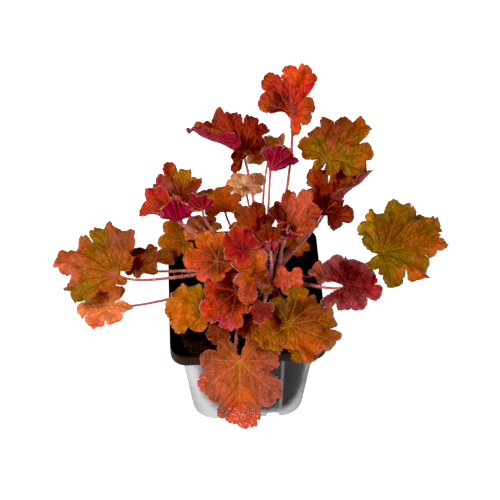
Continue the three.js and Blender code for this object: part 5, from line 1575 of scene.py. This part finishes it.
# ---- hairs --------------------------------------------------------------
def make_hairs(name, roots, headings, lengths, radius, material):
    """Thin three-sided cones, all in one mesh."""
    headings = normalised(headings)
    flat = np.abs(headings[:, 2:3]) < 0.8
    across = normalised(np.cross(headings, np.where(flat, [[0, 0, 1.0]], [[1.0, 0, 0]])))
    beside = np.cross(headings, across)
    corners = []
    for i in range(3):
        angle = 2 * math.pi * i / 3
        corners.append(roots + radius * (math.cos(angle) * across + math.sin(angle) * beside))
    corners.append(roots + headings * lengths[:, None])
    points = np.stack(corners, axis=1).reshape(-1, 3)
    first = 4 * np.arange(len(roots))[:, None]
    faces = np.concatenate([first + np.array([side]) for side in ((0, 1, 3), (1, 2, 3), (2, 0, 3))])
    hairs = new_object(name, points, faces, [material])
    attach(hairs, "root")


def petiole_hairs(paths, radii, rng):
    roots, headings = [], []
    for path, size in zip(paths, radii):
        arc = arc_lengths(path)
        count = int(arc[-1] * PETIOLE_HAIRS_PER_MM)
        places = rng.uniform(0, arc[-1], count)
        centre = along_curve(path, arc, places)
        tangent = along_curve(normalised(np.gradient(path, axis=0)), arc, places)
        side = rng.standard_normal((count, 3))
        side = normalised(side - tangent * np.sum(side * tangent, axis=1)[:, None])
        roots.append(centre + side * np.interp(places, arc, size)[:, None] * HAIR_ROOT_SHARE)
        headings.append(side + PETIOLE_HAIR_SPREAD * rng.standard_normal((count, 3)))
    return np.concatenate(roots), np.concatenate(headings)


def margin_hairs(blades, rng):
    roots, headings = [], []
    for blade in blades:
        start, end = blade["edge_start"], blade["edge_end"]
        steps = np.linalg.norm(end - start, axis=1)
        count = int(steps.sum() * MARGIN_HAIRS_PER_MM[blade["family"]])
        tufts = waves(start[:, 0], start[:, 1], TUFT_WAVES, 4, rng)
        thick = TUFT_LEAST + smooth_step(tufts, *TUFT_LIMITS)
        chosen = rng.choice(len(steps), count, p=steps * thick / (steps * thick).sum())
        share = rng.uniform(0, 1, count)[:, None]
        roots.append(start[chosen] * (1 - share) + end[chosen] * share)
        lean = rng.uniform(-MARGIN_HAIR_LEAN, MARGIN_HAIR_LEAN, count)[:, None]
        heading = blade["edge_outward"][chosen] + lean * blade["edge_normal"][chosen]
        headings.append(heading + MARGIN_HAIR_SPREAD * rng.standard_normal((count, 3)))
    return np.concatenate(roots), np.concatenate(headings)


def face_hairs(blades, rng):
    roots, headings = [], []
    for blade in blades:
        triangles = blade["triangles"]
        doubled = np.linalg.norm(face_crosses(blade["points"], triangles), axis=1)
        for side in (1, -1):
            count = int(doubled.sum() / 2 * FACE_HAIRS_PER_MM2)
            chosen = rng.choice(len(doubled), count, p=doubled / doubled.sum())
            weights = rng.dirichlet((1, 1, 1), count)
            roots.append(np.einsum("nc,ncx->nx", weights, blade["points"][triangles[chosen]]))
            normal = blade["normals"][triangles[chosen, 0]] * side
            headings.append(normal + FACE_HAIR_SPREAD * rng.standard_normal((count, 3)))
    return np.concatenate(roots), np.concatenate(headings)


# ---- stage --------------------------------------------------------------
def make_floor():
    half = FLOOR_HALF
    corners = [(-half, -half, 0), (half, -half, 0), (half, half, 0), (-half, half, 0)]
    floor = new_object("floor", corners, [(0, 1, 2, 3)], [floor_material()])


def make_lights():
    world = bpy.data.worlds.new("studio")
    bpy.context.scene.world = world
    world.use_nodes = True
    sky = world.node_tree.nodes["Background"].inputs
    sky["Color"].default_value = (1, 1, 1, 1)
    sky["Strength"].default_value = WORLD_STRENGTH
    for number, (place, width, power) in enumerate(LAMPS):
        lamp = bpy.data.lights.new(f"lamp_{number}", "AREA")
        lamp.shape = "DISK"
        lamp.size = width * MM
        lamp.energy = power
        holder = bpy.data.objects.new(f"lamp_{number}", lamp)
        holder.location = Vector(place) * MM
        aim = Vector(PLANT_CENTRE) - Vector(place)
        holder.rotation_euler = aim.to_track_quat("-Z", "Y").to_euler()
        bpy.context.scene.collection.objects.link(holder)


def make_camera():
    camera = bpy.data.cameras.new("camera")
    camera.lens = CAMERA_LENS
    camera.sensor_width = CAMERA_SENSOR
    holder = bpy.data.objects.new("camera", camera)
    holder.location = Vector(CAMERA_PLACE) * MM
    holder.rotation_euler = (math.radians(90 - CAMERA_ELEVATION), 0, math.radians(CAMERA_HEADING))
    bpy.context.scene.collection.objects.link(holder)
    bpy.context.scene.camera = holder


def main():
    view = bpy.context.scene.view_settings
    view.view_transform = "Standard"
    view.use_curve_mapping = True
    view.curve_mapping.black_level = (BLACK_LEVEL,) * 3
    view.curve_mapping.update()
    make_camera()
    make_lights()
    make_floor()
    make_pot()
    make_soil()
    make_soil_crumbs()
    make_soil_fibres()
    paths, radii = make_stems()
    blades = [make_blade(leaf, number) for number, leaf in enumerate(LEAVES)]
    rng = np.random.default_rng(SEED + 4)
    pale = hair_material("petiole_hair")
    soft = hair_material("leaf_hair")
    on_petioles = petiole_hairs(paths, radii, rng)
    on_margins = margin_hairs(blades, rng)
    on_faces = face_hairs(blades, rng)
    for name, (roots, headings), limits, radius, material in (
        ("petiole_hairs", on_petioles, PETIOLE_HAIR_LENGTHS, PETIOLE_HAIR_RADIUS, pale),
        ("margin_hairs", on_margins, MARGIN_HAIR_LENGTHS, LEAF_HAIR_RADIUS, soft),
        ("face_hairs", on_faces, FACE_HAIR_LENGTHS, LEAF_HAIR_RADIUS, soft),
    ):
        lengths = rng.uniform(*limits, len(roots))
        make_hairs(name, roots, headings, lengths, radius, material)


main()
